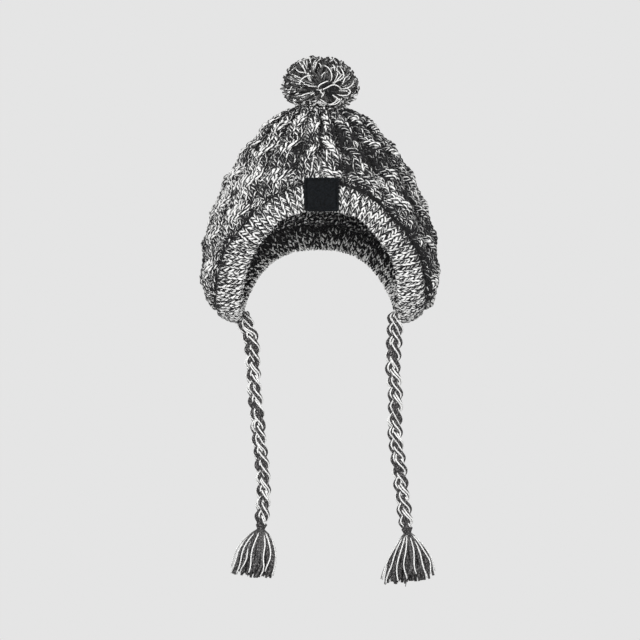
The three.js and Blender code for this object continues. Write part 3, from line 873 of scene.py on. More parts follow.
class BEANIE_OT_ties(bpy.types.Operator):
    """Plaits both ties and hangs a wound knot and a tassel on each"""
    bl_idname = "beanie.ties"
    bl_label = "Ties"

    def execute(self, context):
        ties, yarn = context.scene.beanie_ties, context.scene.beanie_yarn
        finish = plain_finish("tie_yarn", *TIE_DYES, yarn.light)
        for number, (side, route) in enumerate(ROUTES.items()):
            path, run = even_path(route, PATH_STEP)
            end, ahead = path[-1], unit(path[-1] - path[-3])
            aside = unit(np.cross(ahead, (0, 1, 0)))
            knot = end, ahead, aside, np.cross(ahead, aside)
            braid = self.plait(side, number, path, run, ties, finish)
            wrap = self.wind(side, number, knot, finish)
            tassel = self.hang(side, number, knot, ties, finish)
        return {"FINISHED"}

    @staticmethod
    def plait(side, number, path, run, ties, finish):
        heap = YarnHeap(SEEDS["plait"] + number)
        lean = math.radians(PLAIT_LEAN[side])
        ahead = unit(np.gradient(path, axis=0))
        aside = square_to(ahead, np.array([math.cos(lean), math.sin(lean), 0.0]))
        across = np.cross(ahead, aside)
        root = eased(ROOT_SHARE, smooth(ROOT_FROM, ROOT_TO, run))
        slim = root * eased(END_SHARE, smooth(0, END_RUN, run[-1] - run))
        slim = slim * eased(BROAD_SHARE, smooth(0, BROAD_RUN, run))

        def beside(first, second):
            return aside * first[:, None] + across * second[:, None]

        for strand, plies in enumerate(STRANDS):
            swing = TAU * (run / (ties.repeat / MM) + strand / 3 + TIE_PHASE * number)
            middle = path + beside(ties.reach / MM * slim * np.sin(swing),
                                   ties.depth / MM * slim * np.sin(2 * swing))
            for place, dye in enumerate(plies):
                light = dye == "light"
                turn = -TAU * (run / PLY_TURN + place / len(plies) + strand * STRAND_PHASE)
                off = ties.strand / MM * slim * (LIGHT_PLY_OUT if light else 1)
                line = middle + beside(off * np.cos(turn), off * np.sin(turn))
                heap.lay(line, YARN_RADII[dye] * root, across, 7, float(light))
        heap.lay(path, PLAIT_CORE * slim, across, 6)
        braid = heap.make(f"{side}_plait", finish)
        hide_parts(f"{side}_braid")
        return braid

    @staticmethod
    def wind(side, number, knot, finish):
        spot, ahead, aside, across = knot
        heap = YarnHeap(SEEDS["knot"] + number)
        share = np.linspace(0, 1, KNOT_STEPS)
        out = towards(TAU * KNOT_TURNS * share, aside, across)
        reach = KNOT_REACH - KNOT_NARROWING * share ** 0.8
        down = KNOT_START + (WRAP_HEIGHT - KNOT_SPARE) * share
        line = spot + ahead * down[:, None] + out * reach[:, None]
        heap.lay(line, KNOT_YARN, out, 6)
        core = spot + ahead * np.linspace(-CORE_PAST, WRAP_HEIGHT + CORE_PAST, 5)[:, None]
        heap.lay(core, np.linspace(KNOT_REACH, CORE_END, 5), aside, 8)
        wrap = heap.make(f"{side}_wound_knot", finish)
        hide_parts(f"{side}_tassel_wrap")
        return wrap

    @staticmethod
    def hang(side, number, knot, ties, finish):
        """Dark yarns fill the tassel, and evenly spread light ones lie round its outside."""
        spot, ahead, aside, across = knot
        heap = YarnHeap(SEEDS["tassel"] + number)
        chance = np.random.default_rng(SEEDS["tassel_fall"] + number)
        loose, count = LOOSE_TASSEL[side], ties.tassel_yarns
        share, yarns = np.linspace(0, 1, TASSEL_STEPS), np.arange(count)
        light = yarns >= count - LIGHT_YARNS
        turn = yarns * GOLDEN_TURN + chance.uniform(-0.1, 0.1, count)
        even = TAU * yarns / LIGHT_YARNS + chance.uniform(-0.17, 0.17, count)
        turn = np.where(light, even, turn)
        ring = np.where(light, LIGHT_RING, np.sqrt((yarns + 0.5) / count))
        uneven = chance.uniform(1 - loose.uneven, 1 + loose.uneven, count)
        reach = (ties.tassel_spread / MM / 2 - TASSEL_INSET) * ring * loose.wider
        reach = reach * np.where(light, 1 + 0.3 * loose.uneven, uneven)
        neck = TASSEL_NECK * ring
        spread = (1 - (1 - share) ** loose.bell) ** 0.85
        away = neck[:, None] + (reach - neck)[:, None] * spread
        length = TASSEL_LENGTH * chance.uniform(*CUT_LENGTHS, count) * (1 - OUTER_SHORTER * ring)
        wave = chance.uniform(0, TAU, (count, 1))
        wave = wave + share * chance.uniform(*SWAY_WAVES, (count, 1))
        out = towards(turn[:, None] + SWAY * np.sin(wave) * share, aside, across)
        down = 2 * GAP + WRAP_HEIGHT - TASSEL_OVERLAP + length[:, None] * share
        lines = spot + ahead * down[..., None] + out * away[..., None]
        lines = lines + aside * (TASSEL_DRIFT * share ** 1.3)[:, None]
        radius = np.where(light, YARN_RADII["light"], YARN_RADII["dark"])[:, None]
        heap.lay(lines, radius * (1 - END_THINNER * share), out, 5,
                 np.where(light, 1, 0.06 * chance.random(count) ** 2))
        pick = chance.integers(0, count, HAIRS)
        flick = chance.normal(0, loose.flick, (HAIRS, 1, 3)) * share[HAIR_STEP:, None] ** 3
        heap.lay(lines[pick, HAIR_STEP:] + flick, HAIR_RADIUS, out[pick, HAIR_STEP:], 4)
        tassel = heap.make(f"{side}_tassel_yarns", finish)
        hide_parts(f"{side}_tassel")
        return tassel


# Knit

# A leg of a V starts this share of its column from the middle, and its row's middle is here.
LEG_ROOT, LEG_MIDDLE = 0.05, 0.507
# How far a leg leans out to the side and how long it is, in the crown and in the band.
Leg = namedtuple("Leg", "lean long")
CROWN_LEG, BAND_LEG = Leg(0.4, 1.3), Leg(0.41, 1.22)


def knit_leg(steps, side, leg):
    """One leg of a V as shares: across its column, down its row, out of the cloth, and thick."""
    share = np.linspace(0, 1, steps + 1)
    arch = np.sin(np.pi * share)
    across, down = side * (LEG_ROOT + leg.lean * share ** 0.9), leg.long * (LEG_MIDDLE - share)
    out, thick = 1.5 * arch ** 0.8 - 0.6, eased(0.6, arch ** 0.5)
    return across, down, out, thick


# One purl bump: shares across its column, and how much it bows there.
Purl = namedtuple("Purl", "across bow")
PURL = Purl(0.36 * np.linspace(-1, 1, 5), 1 - np.linspace(-1, 1, 5) ** 2)

# Falls of the crown's first rows of cables, purl columns and lining, in millimetres.
FIRST_ROW, FIRST_PURL, FIRST_LINING = 11.0, 13.0, 6.0
MOST_COLUMNS = 5
# The middle of the front has no purl column above this fall, so the dark backing shows there:
# painted shade.
MIDDLE_PURL = 46
# Every other cable has its crossings this much lower.
CROSS_OFFSET = 6.0
# Rows of purl columns and of the lining follow each other at these shares of a stitch.
PURL_ROWS, LINING_ROWS = 0.62, 0.58
# Purl columns widen beside crossings only where the cables are wider than this.
WIDE_CABLE = 20
SELVEDGE_PITCH = 3.8
SELVEDGE_ROWS = np.arange(0.3, 8.5, 1.45)
LINING_YARN = 0.85
SELVEDGE_YARN = 1.05
# How deep under the crown's surface the yarns and the backing lie, and UNDER_DEPTH for how much
# deeper the lower strand of a crossing is.
CABLE_DEPTH, UNDER_DEPTH, PURL_DEPTH, SELVEDGE_DEPTH, BACKING_DEPTH = 2.1, 0.5, 2.0, 2.9, 2.7
# How much wider and thicker a stitch is where it crosses, and how much it is painted paler on the
# upper strand and darker on the lower: painted highlight and shade.
CROSS_WIDER, CROSS_THICKER, CROSS_PAINTED_LIGHT = 0.5, 0.15, 0.25
# A stitch that dives under another is left out where it is this far along its swing.
HIDDEN_SWING = 0.97
# Rows shift over so many millimetres above the seam, so that the last one ends at it.
SHIFT_REACH = 60
# How uneven a stitch is: along its fall and across, in its lift, and in its thickness or shade.
Uneven = namedtuple("Uneven", "fall across lift last")
UNEVEN_CABLE = Uneven(0.07, 0.05, 0.2, 0.08)
UNEVEN_PURL = Uneven(0.08, 0.012, 0.15, 0.12)
UNEVEN_LINING = Uneven(0.12, 0.05, 0.2, 0.5)
UNEVEN_BAND = Uneven(0.09, 0.06, 0.12, 0.05)
# Share of the ball that the backing starts from which becomes its outside.
OUTSIDE_SHARE = 0.6

# Painted shade and painted highlights in the crown's yarn, with random tone: patches of this many
# millimetres of random tone, painted shade in the furrows, a painted dark line down the middle of
# the front, painted shade on the right side with a painted highlight on a rope and painted shade
# in the furrow beside it above its seam, painted shade in the groove along the seam, and the limit
# of it all.
PATCH_LENGTH = 34
Shades = namedtuple("Shades", "patches furrow middle rope right groove right_groove darkest")
SHADES = Shades(0.17, -0.25, -0.6, 0.15, -0.17, -0.2, -0.18, -0.55)
MIDDLE_WIDTH, MIDDLE_ENDS = 2.2, (40, 52)
RIGHT_BEGINS, RIGHT_ENDS = (0.02, 0.06), (0.24, 0.3)
ROPE_HEIGHTS, ROPE_WIDTH = (25, 36), 5


def crown_tone_and_painted_shade(round_share, fall, places):
    """Painted shade and highlights on the crown's yarn, with random tone, from stitch to stitch.
    """
    waves = np.random.default_rng(SEEDS["patches"]).normal(0, TAU / PATCH_LENGTH, (6, 3))
    patches = np.sin(places @ waves.T + np.arange(6)).sum(-1) / 3
    # Painted shade in the purl furrows.
    furrow = np.abs(2 * (round_share * CABLES % 1) - 1) ** 3
    aside = centred(round_share)
    # A painted dark line down the middle of the front.
    middle = np.exp(-(aside * LENGTHS.girth_at(fall) / MIDDLE_WIDTH) ** 2)
    middle = middle * (1 - smooth(*MIDDLE_ENDS, fall))
    # Painted shade on the right side.
    right = smooth(*RIGHT_BEGINS, aside) * (1 - smooth(*RIGHT_ENDS, aside))
    to_seam = LENGTHS.seam_fall(round_share) - fall
    # A painted highlight on the rope and painted shade in the furrow beside it.
    pale, dark = (np.exp(-((to_seam - high) / ROPE_WIDTH) ** 2) for high in ROPE_HEIGHTS)
    broad = 2.5 + 2.5 * smooth(0.08, 0.2, np.abs(aside))
    # Painted shade along the seam's groove, broader away from the front and deeper on the right.
    groove = (SHADES.groove + SHADES.right_groove * right) * (1 - smooth(0.5, broad, to_seam))
    shade = SHADES.patches * patches + SHADES.furrow * furrow + SHADES.middle * middle
    shade = shade + right * (SHADES.rope * (pale - dark) + SHADES.right) + groove
    return np.maximum(SHADES.darkest, shade)


def crossed_share(phase):
    """How far two strands have changed places, at a share of the way to the next crossing."""
    return smooth(0.15, 0.85, phase)


def is_front(round_share):
    return np.abs(centred(round_share)) < 0.25


class BEANIE_OT_crown(bpy.types.Operator):
    """Knits the crown's cables over a dark backing and lines it with purl bumps"""
    bl_idname = "beanie.crown"
    bl_label = "Crown"

    def execute(self, context):
        knit, yarn = context.scene.beanie_knit, context.scene.beanie_yarn
        marl = marled_finish(
            "crown_marl", yarn.dark, yarn.light, yarn.crown_light, yarn.twist, 2.5, 1.2)
        inside = marled_finish(
            "lining_marl", yarn.dark, yarn.light, yarn.lining_light * 0.9, yarn.twist / 4, 1,
            1.1)
        pieces = [self.back(backing_finish("crown_ground", yarn.dark, CROWN_FLECK))]
        stitches = self.lattice(knit)
        front = is_front(stitches["round"])
        for name, chosen in (("front", front), ("back", ~front)):
            heap = YarnHeap(SEEDS[f"crown_{name}"])
            self.cables(heap, knit, {key: value[chosen] for key, value in stitches.items()})
            self.furrows(heap, knit, name == "front")
            self.selvedge(heap, name == "front")
            pieces.append(heap.make(f"crown_{name}_cables", marl))
        pieces.append(self.lining(knit, inside))
        for piece in pieces:
            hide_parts("crown")
        return {"FINISHED"}

    @staticmethod
    def back(finish):
        """The closed shell behind the stitches."""
        bm = bmesh.new()
        bmesh.ops.create_uvsphere(bm, u_segments=144, v_segments=96, radius=1)

        def place(points):
            round_share = np.arctan2(points[:, 0], -points[:, 1]) / TAU % 1
            fall = np.arccos(np.clip(points[:, 2], -1, 1)) / np.pi
            outside = fall <= OUTSIDE_SHARE
            share = np.where(outside, fall / OUTSIDE_SHARE, (1 - fall) / (1 - OUTSIDE_SHARE))
            angle = LENGTHS.angle_at(round_share)
            way = share * seam_way(angle)
            sunk = crown_relief(round_share, way) * 0.9 - BACKING_DEPTH
            lift = np.where(outside, sunk, 0.2 - WALL)
            spots = dome_point(angle, way) + dome_normal(angle, way) * lift[:, None]
            pole = share < 1e-6
            spots[pole] = np.stack([0 * lift, 0 * lift, WALL + lift], -1)[pole]
            return spots * MM
        mould(bm, place)
        return close_mesh("crown_backing", bm, finish)

    @staticmethod
    def lattice(knit):
        """Where each V sits: its cable, its fall, its column and the strand that it belongs to."""
        height, repeat = knit.stitch_height / MM, knit.cross_repeat / MM
        rows = []
        fall = FIRST_ROW
        while fall < LENGTHS.fall[-1]:
            room = LENGTHS.girth_at(fall) / CABLES * knit.cable_share
            columns = min(max(1, round(room / (knit.stitch_width / MM))), MOST_COLUMNS)
            cable, column = np.meshgrid(np.arange(CABLES), np.arange(columns), indexing="ij")
            wide = knit.cable_share / columns
            place = (1 - knit.cable_share) / 2 + (column + 0.5) * wide
            strand = np.sign((columns - 1) / 2 - column) * (columns > 1)
            moving = columns // 2
            span = knit.cable_share * (columns - moving) / columns
            middle = 0.5 - strand * knit.cable_share * (0.5 - moving / (2 * columns))
            rows.append(np.stack(
                np.broadcast_arrays(cable, fall, place, wide, strand, span, middle), -1)
                .reshape(-1, 7))
            fall += height
        stitches = dict(zip(
            ("cable", "fall", "place", "wide", "strand", "span", "middle"),
            np.concatenate(rows).T))
        fall = stitches["fall"]
        stitches["begin"] = CROSS_OFFSET * (stitches["cable"] % 2)
        phase = (fall - stitches["begin"]) / repeat
        stitches["lap"] = np.floor(phase)
        stitches["crossed"] = crossed_share(phase - stitches["lap"])
        moved = stitches["place"] + stitches["span"] * stitches["crossed"] * stitches["strand"]
        stitches["round"] = (stitches["cable"] + moved) / CABLES
        last = LENGTHS.seam_fall(stitches["round"])
        whole = np.floor((last - FIRST_ROW) / height - 0.35)
        spare = last - (FIRST_ROW + (whole + 0.6) * height)
        stitches["shift"] = spare * smooth(last - SHIFT_REACH, last, fall)
        kept = fall < FIRST_ROW + (whole + 0.5) * height
        return {key: value[kept] for key, value in stitches.items()}

    @staticmethod
    def cables(heap, knit, stitches):
        """The Vs, which swing over and under each other where their strands cross."""
        repeat, height = knit.cross_repeat / MM, knit.stitch_height / MM
        radius, cross_rise = knit.yarn_radius / MM, knit.cross_rise / MM
        over = stitches["strand"] * np.where(stitches["cable"] < CABLES / 2, 1.0, -1.0)
        shown = ~((over < 0) & (np.sin(np.pi * stitches["crossed"]) > HIDDEN_SWING))
        parts = {key: value[shown][:, None] for key, value in stitches.items()}
        over, strand = over[shown][:, None], parts["strand"]
        own = parts["place"] - parts["middle"]
        count = len(over)
        for side in (-1, 1):
            across, down, out, thick = knit_leg(4, side, CROWN_LEG)
            jitter = heap.chance.normal(0, 1, (count, 4, 1))
            fall = parts["fall"] + height * (down + UNEVEN_CABLE.fall * jitter[:, 0])
            crossed = crossed_share((fall - parts["begin"]) / repeat - parts["lap"])
            swing = np.sin(np.pi * crossed) * (strand != 0)
            moved = parts["span"] * crossed * strand + CROSS_WIDER * swing * own
            wide = parts["wide"] * (1 + CROSS_WIDER * swing)
            across = across + UNEVEN_CABLE.across * jitter[:, 1]
            place = parts["place"] + moved + across * wide
            rise = swing * np.where(over > 0, cross_rise, -UNDER_DEPTH)
            lift = rise - CABLE_DEPTH + out * radius + UNEVEN_CABLE.lift * jitter[:, 2]
            round_share, fall = (parts["cable"] + place) / CABLES, fall + parts["shift"]
            lines, outs = crown_spot(round_share, fall, lift)
            thick = radius * thick * (1 + UNEVEN_CABLE.last * jitter[:, 3])
            thick = thick * (1 + CROSS_THICKER * swing)
            # Painted shade and highlights on the crown and on the crossing's strands, with random
            # tone.
            light = (crown_tone_and_painted_shade(round_share, fall, lines)
                     + CROSS_PAINTED_LIGHT * swing * np.sign(over)
                     + heap.chance.normal(0, 0.08, (count, 1)))
            heap.lay(lines, thick, outs, 5, light)

    @staticmethod
    def furrows(heap, knit, front):
        """The purl column between two cables."""
        height, repeat = knit.stitch_height / MM, knit.cross_repeat / MM
        falls = np.arange(FIRST_PURL, LENGTHS.fall[-1], height * PURL_ROWS)
        cable, fall = (grid.ravel() for grid in np.meshgrid(np.arange(CABLES), falls))
        kept = ((fall < LENGTHS.seam_fall(cable / CABLES) - 1)
                & (is_front(cable / CABLES) == front) & ((cable > 0) | (fall > MIDDLE_PURL)))
        cable, fall = cable[kept][:, None], fall[kept][:, None]
        shares = np.linspace(-1, 1, 7)
        jitter = heap.chance.normal(0, 1, (len(fall), 3, 1))
        bumps = np.cos(3 * np.pi * shares)
        bow = height * (0.26 * bumps * np.sign(jitter[:, 2]) + UNEVEN_PURL.fall * jitter[:, 2])
        crossed = [crossed_share((fall - CROSS_OFFSET * (beside % 2)) / repeat % 1)
                   for beside in (cable - 1, cable)]
        swing = np.where(shares < 0, *(np.sin(np.pi * share) for share in crossed))
        swing = swing * (LENGTHS.girth_at(fall) / CABLES > WIDE_CABLE)
        across = shares * ((1 - knit.cable_share) * 0.66 + 0.16 * swing)
        lift = 0.4 * bumps - 0.3 * shares ** 2 - PURL_DEPTH + UNEVEN_PURL.lift * jitter[:, 0]
        round_share = (cable + across + UNEVEN_PURL.across * jitter[:, 1]) / CABLES
        lines, outs = crown_spot(round_share, fall - bow, lift)
        # Painted shade and highlights on the crown and beside the crossings, with random tone.
        light = (crown_tone_and_painted_shade(round_share, fall - bow, lines) + CROSS_PAINTED_LIGHT * swing
                 + heap.chance.normal(0, UNEVEN_PURL.last, lines.shape[:2]))
        heap.lay(lines, knit.yarn_radius / MM * 0.75, outs, 5, light)

    @staticmethod
    def selvedge(heap, front):
        """Rows of loops along the seam, where the rolled edge turns under."""
        turns = np.linspace(0, 1, 3601)
        angles = LENGTHS.angle_at(turns)
        run = Lengths.running(dome_point(angles, seam_way(angles)))
        count = int(run[-1] / SELVEDGE_PITCH)
        for row, back in enumerate(SELVEDGE_ROWS):
            along = (np.arange(count)[:, None] + 0.5 * (row % 2)
                     + 1.5 * PURL.across) * run[-1] / count
            round_share = np.interp(along % run[-1], run, turns)
            round_share = round_share[is_front(round_share[:, 2]) == front]
            jitter = heap.chance.normal(0, 1, (len(round_share), 2, 1))
            bow = 0.7 * PURL.bow * (1 if row % 2 else -1)
            fall = LENGTHS.seam_fall(round_share) - back - bow + 0.2 * jitter[:, 0]
            lines, outs = crown_spot(
                round_share, fall, 0.9 * PURL.bow - SELVEDGE_DEPTH + 0.15 * jitter[:, 1])
            # Painted shade along the seam's groove, from the crown's painted shade, with random
            # tone.
            heap.lay(lines, SELVEDGE_YARN, outs, 5,
                     crown_tone_and_painted_shade(round_share, fall, lines) + 0.18 * jitter[:, 1])

    @staticmethod
    def lining(knit, finish):
        """Purl bumps all over the inside."""
        heap = YarnHeap(SEEDS["lining"])
        height, wide = knit.stitch_height / MM, knit.lining_width / MM
        falls = np.arange(FIRST_LINING, LENGTHS.fall[-1], height * LINING_ROWS)
        for row, fall in enumerate(falls):
            count = int(LENGTHS.girth_at(fall) * 0.95 / wide)
            middle = (np.arange(count) + 0.5 * (row % 2)) / count
            middle = middle[fall < LENGTHS.seam_fall(middle) - 2][:, None]
            if not len(middle):
                continue
            jitter = heap.chance.normal(0, 1, (len(middle), 4, 1))
            across = PURL.across + UNEVEN_LINING.across * jitter[:, 0]
            angle = LENGTHS.angle_at(middle + across / count)
            upturned = height * (0.3 * PURL.bow * np.sign(jitter[:, 3])
                                 + UNEVEN_LINING.fall * jitter[:, 1]
                                 + UNEVEN_LINING.last * jitter[:, 3] * PURL.across)
            way = LENGTHS.way_at(fall - upturned)
            out = dome_normal(angle, way)
            lift = GAP - WALL - 1.3 * PURL.bow + UNEVEN_LINING.lift * jitter[:, 2]
            heap.lay(dome_point(angle, way) + out * lift[..., None], LINING_YARN, -out, 4)
        return heap.make("crown_lining", finish)


# The band's outer face sinks this far under the crown's edge.
BAND_DIP = 2.4
# Its yarn's thickness beside the crown's, how many radii deep it lies, and how deep its core.
BAND_YARN, BAND_INSET, CORE_INSET = 0.83, 1.15, 1.5
# The two faces of the band: degrees round its section, steps of a leg, how fine the stitches
# are, and how much paler or darker they are painted at the face's start, some millimetres on and
# at its end: painted shade on the ribs beside the seam and high up inside.
PALER_AT = 5
Face = namedtuple("Face", "name start end steps fine paler")
FACES = (
    Face("band_ribs", 156, -40, 4, 1.0, (-0.3, 0.04, 0.04)),
    Face("band_inside", -36, -170, 3, 0.85, (0.03, 0, -0.35)),
)


class BEANIE_OT_band(bpy.types.Operator):
    """Knits the doubled band round the openings"""
    bl_idname = "beanie.band"
    bl_label = "Band"

    def execute(self, context):
        knit, yarn = context.scene.beanie_knit, context.scene.beanie_yarn
        finishes = (
            marled_finish("band_marl", yarn.dark, yarn.light, yarn.band_light,
                          yarn.twist * 1.28, 2, 0.8),
            marled_finish("band_inside_marl", yarn.dark, yarn.light, yarn.lining_light,
                          yarn.twist * 0.64, 1, 1.2),
        )
        pieces = [self.core(backing_finish("band_ground", yarn.dark, BAND_FLECK))]
        for number, (face, finish) in enumerate(zip(FACES, finishes)):
            pieces.append(self.stitches(number, face, knit, finish))
        for piece in pieces:
            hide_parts("ribbed_band")
        return {"FINISHED"}

    @staticmethod
    def section(angle, inset):
        """The band's rounded section: share across it and lift out of its middle."""
        reach = signed_power(np.cos(angle), 2 / 3) * (BAND_WIDTH / 2 - inset)
        lift = signed_power(np.sin(angle), 2 / 3) * (BAND_THICKNESS / 2 - inset)
        return 0.5 + reach / BAND_WIDTH, lift

    def core(self, finish):
        ring_radius = 4
        bm = bmesh.new()
        ring = bmesh.ops.create_circle(
            bm, segments=20, radius=1, matrix=Matrix.Translation((ring_radius, 0, 0))
            @ Matrix.Rotation(math.pi / 2, 4, "X"))
        bmesh.ops.spin(
            bm, geom=ring["verts"] + list(bm.edges), cent=(0, 0, 0), axis=(0, 0, 1),
            angle=TAU, steps=180, use_merge=True)

        def place(points):
            turn = np.arctan2(points[:, 1], points[:, 0]) / TAU % 1
            away = np.hypot(points[:, 0], points[:, 1]) - ring_radius
            angle = np.arctan2(points[:, 2], away)
            share, lift = self.section(angle, CORE_INSET)
            length = turn * BAND.length[-1]
            lift = lift - self.dip(angle, share, length)
            return BAND.spot(length, 1.12 * share - 0.12, lift)[0] * MM
        mould(bm, place)
        return close_mesh("band_core", bm, finish)

    @staticmethod
    def dip(angle, share, length):
        """How far the band's outer face sinks under the crown's edge, except at the flaps."""
        drawn = np.interp(length % BAND.length[-1], BAND.length, BAND.drawn)
        near = (1 - smooth(0.02, 0.26, share)) * smooth(0, 0.5, np.sin(angle))
        return BAND_DIP * near * (1 - 0.8 * drawn)

    def place(self, length, at, angles, run, inset):
        """A place on a face of the band and the way out of it there."""
        angle = np.interp(at, run, angles)
        share, lift = self.section(angle, inset)
        spot, along, upward = BAND.spot(length, share, lift - self.dip(angle, share, length))
        ahead = (np.cos(angle) ** 2 * np.sign(np.cos(angle)))[..., None] * along
        return spot, unit(ahead + np.sin(angle)[..., None] * upward)

    def stitches(self, number, face, knit, finish):
        heap = YarnHeap(SEEDS["band"] + number)
        radius = knit.yarn_radius / MM * BAND_YARN * face.fine
        inset = radius * BAND_INSET
        angles = np.linspace(math.radians(face.start), math.radians(face.end), 600)
        share, lift = self.section(angles, inset)
        run = Lengths.running(np.stack([share * BAND_WIDTH, lift], -1))
        rows = round(run[-1] / (knit.rib_height / MM * face.fine))
        columns = round(BAND.length[-1] / (knit.rib_width / MM * face.fine))
        wide, high = BAND.length[-1] / columns, run[-1] / rows
        column, row = (
            grid.ravel()[:, None] for grid in np.meshgrid(np.arange(columns), np.arange(rows)))
        for side in (-1, 1):
            across, down, out, thick = knit_leg(face.steps, side, BAND_LEG)
            jitter = heap.chance.normal(0, 1, (len(row), 4, 1))
            at = (row + 0.5 + down + UNEVEN_BAND.fall * jitter[:, 0]) * high
            length = (column + across + UNEVEN_BAND.across * jitter[:, 1]) * wide
            spot, outs = self.place(length, at, angles, run, inset)
            lift = radius * (out - 0.1) + UNEVEN_BAND.lift * jitter[:, 2]
            lines = spot + outs * lift[..., None]
            # Painted shade along each face, and on the inside painted paler to the right and
            # darker to the left, as the light falls.
            light = (np.interp(at, (0, PALER_AT, run[-1]), face.paler)
                     + 0.01 * (1 - face.fine) * lines[..., 0])
            thick = radius * thick * (1 + UNEVEN_BAND.last * jitter[:, 3])
            heap.lay(lines, thick, outs, face.steps + 1, light)
        return heap.make(face.name, finish)


# Label

LABEL_GRAIN, LABEL_CLOUD = 560.0, 160.0
LABEL_CORNER = 2
LABEL_EDGE = 0.45
# The groove inside the label's edge: how far in each step goes, and how far up.
LABEL_GROOVE = (1.1, 0), (0.25, -0.25), (0.5, 0), (0.25, 0.2)


class BEANIE_OT_label(bpy.types.Operator):
    """Shapes the bare label and lays it on the front of the band"""
    bl_idname = "beanie.label"
    bl_label = "Label"

    def execute(self, context):
        bm = bmesh.new()
        bmesh.ops.create_cube(bm, size=1)
        bmesh.ops.scale(bm, vec=(LABEL_SIZE, LABEL_SIZE, LABEL_THICKNESS), verts=bm.verts)
        upright = [e for e in bm.edges if abs(e.verts[0].co.z - e.verts[1].co.z) > 0.1]
        bmesh.ops.bevel(bm, geom=upright, offset=LABEL_CORNER, segments=5, profile=0.5,
                        affect="EDGES", material=-1)
        bmesh.ops.bevel(bm, geom=list(self.top(bm).edges), offset=LABEL_EDGE, segments=3,
                        profile=0.5, affect="EDGES", material=-1)
        face = self.top(bm)
        for thickness, depth in LABEL_GROOVE:
            bmesh.ops.inset_region(bm, faces=[face], thickness=thickness, depth=depth)
        seam, across, out = (part[0] for part in BAND.at(np.array([0.0]))[:3])
        middle = seam + across * (LABEL_SIZE / 2 - LABEL_RISE)
        middle = middle + out * (BAND_THICKNESS / 2 + BAND_SWELL + GAP + LABEL_THICKNESS / 2)
        turn = Matrix((np.cross(-across, out), -across, out)).transposed().to_4x4()
        bmesh.ops.transform(
            bm, matrix=Matrix.Scale(MM, 4) @ Matrix.Translation(middle) @ turn, verts=bm.verts)
        finish = self.finish(context.scene.beanie_yarn.label)
        label = close_mesh("bare_label", bm, finish, smooth_faces=False)
        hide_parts("label_patch")
        return {"FINISHED"}

    @staticmethod
    def top(bm):
        return max(bm.faces, key=lambda face: face.calc_center_median().z)

    @staticmethod
    def finish(colour):
        finish = Finish("label_face", {"Roughness": 0.6, "Specular IOR Level": 0.16})
        spot = finish.node("ShaderNodeTexCoord").outputs["Object"]
        grain = finish.noise(spot, 3.0, LABEL_GRAIN)
        cloud = finish.noise(spot, 2.0, LABEL_CLOUD)
        finish.colour(finish.dim(colour, grain * 4 + cloud - 1.4))
        finish.bump(grain, 0.003, 1.0)
        return finish.material


# Pom-pom

# Yarn ends stay this far within the pom-pom's own size, and this far above the gathers.
POMPOM_INSET, POMPOM_CLEAR = 0.8, 2.2
POMPOM_CORE = 0.74
# How far from the middle its yarns start, as a share of its radius.
POMPOM_START = 0.35
LENGTH_STEPS, LOOP_STEPS = 8, 12
LIGHT_LOOPS = 0.7
# The yarns' ends, in shares of the radius: the shortest, and how much further the longest reach.
TIP_LEAST, TIP_MORE = 0.85, 0.2
# How much they bend over, and how uneven their directions and their bends are.
BENDS = 0.25, 0.95
UNEVEN_RAY, UNEVEN_BEND, UNEVEN_LOOP = 0.08, 0.22, 0.9
# Half the sweep of a loop, as an angle, and how far it waves to the side.
LOOP_SWEEPS, LOOP_WAVE = (0.18, 0.45), 0.13


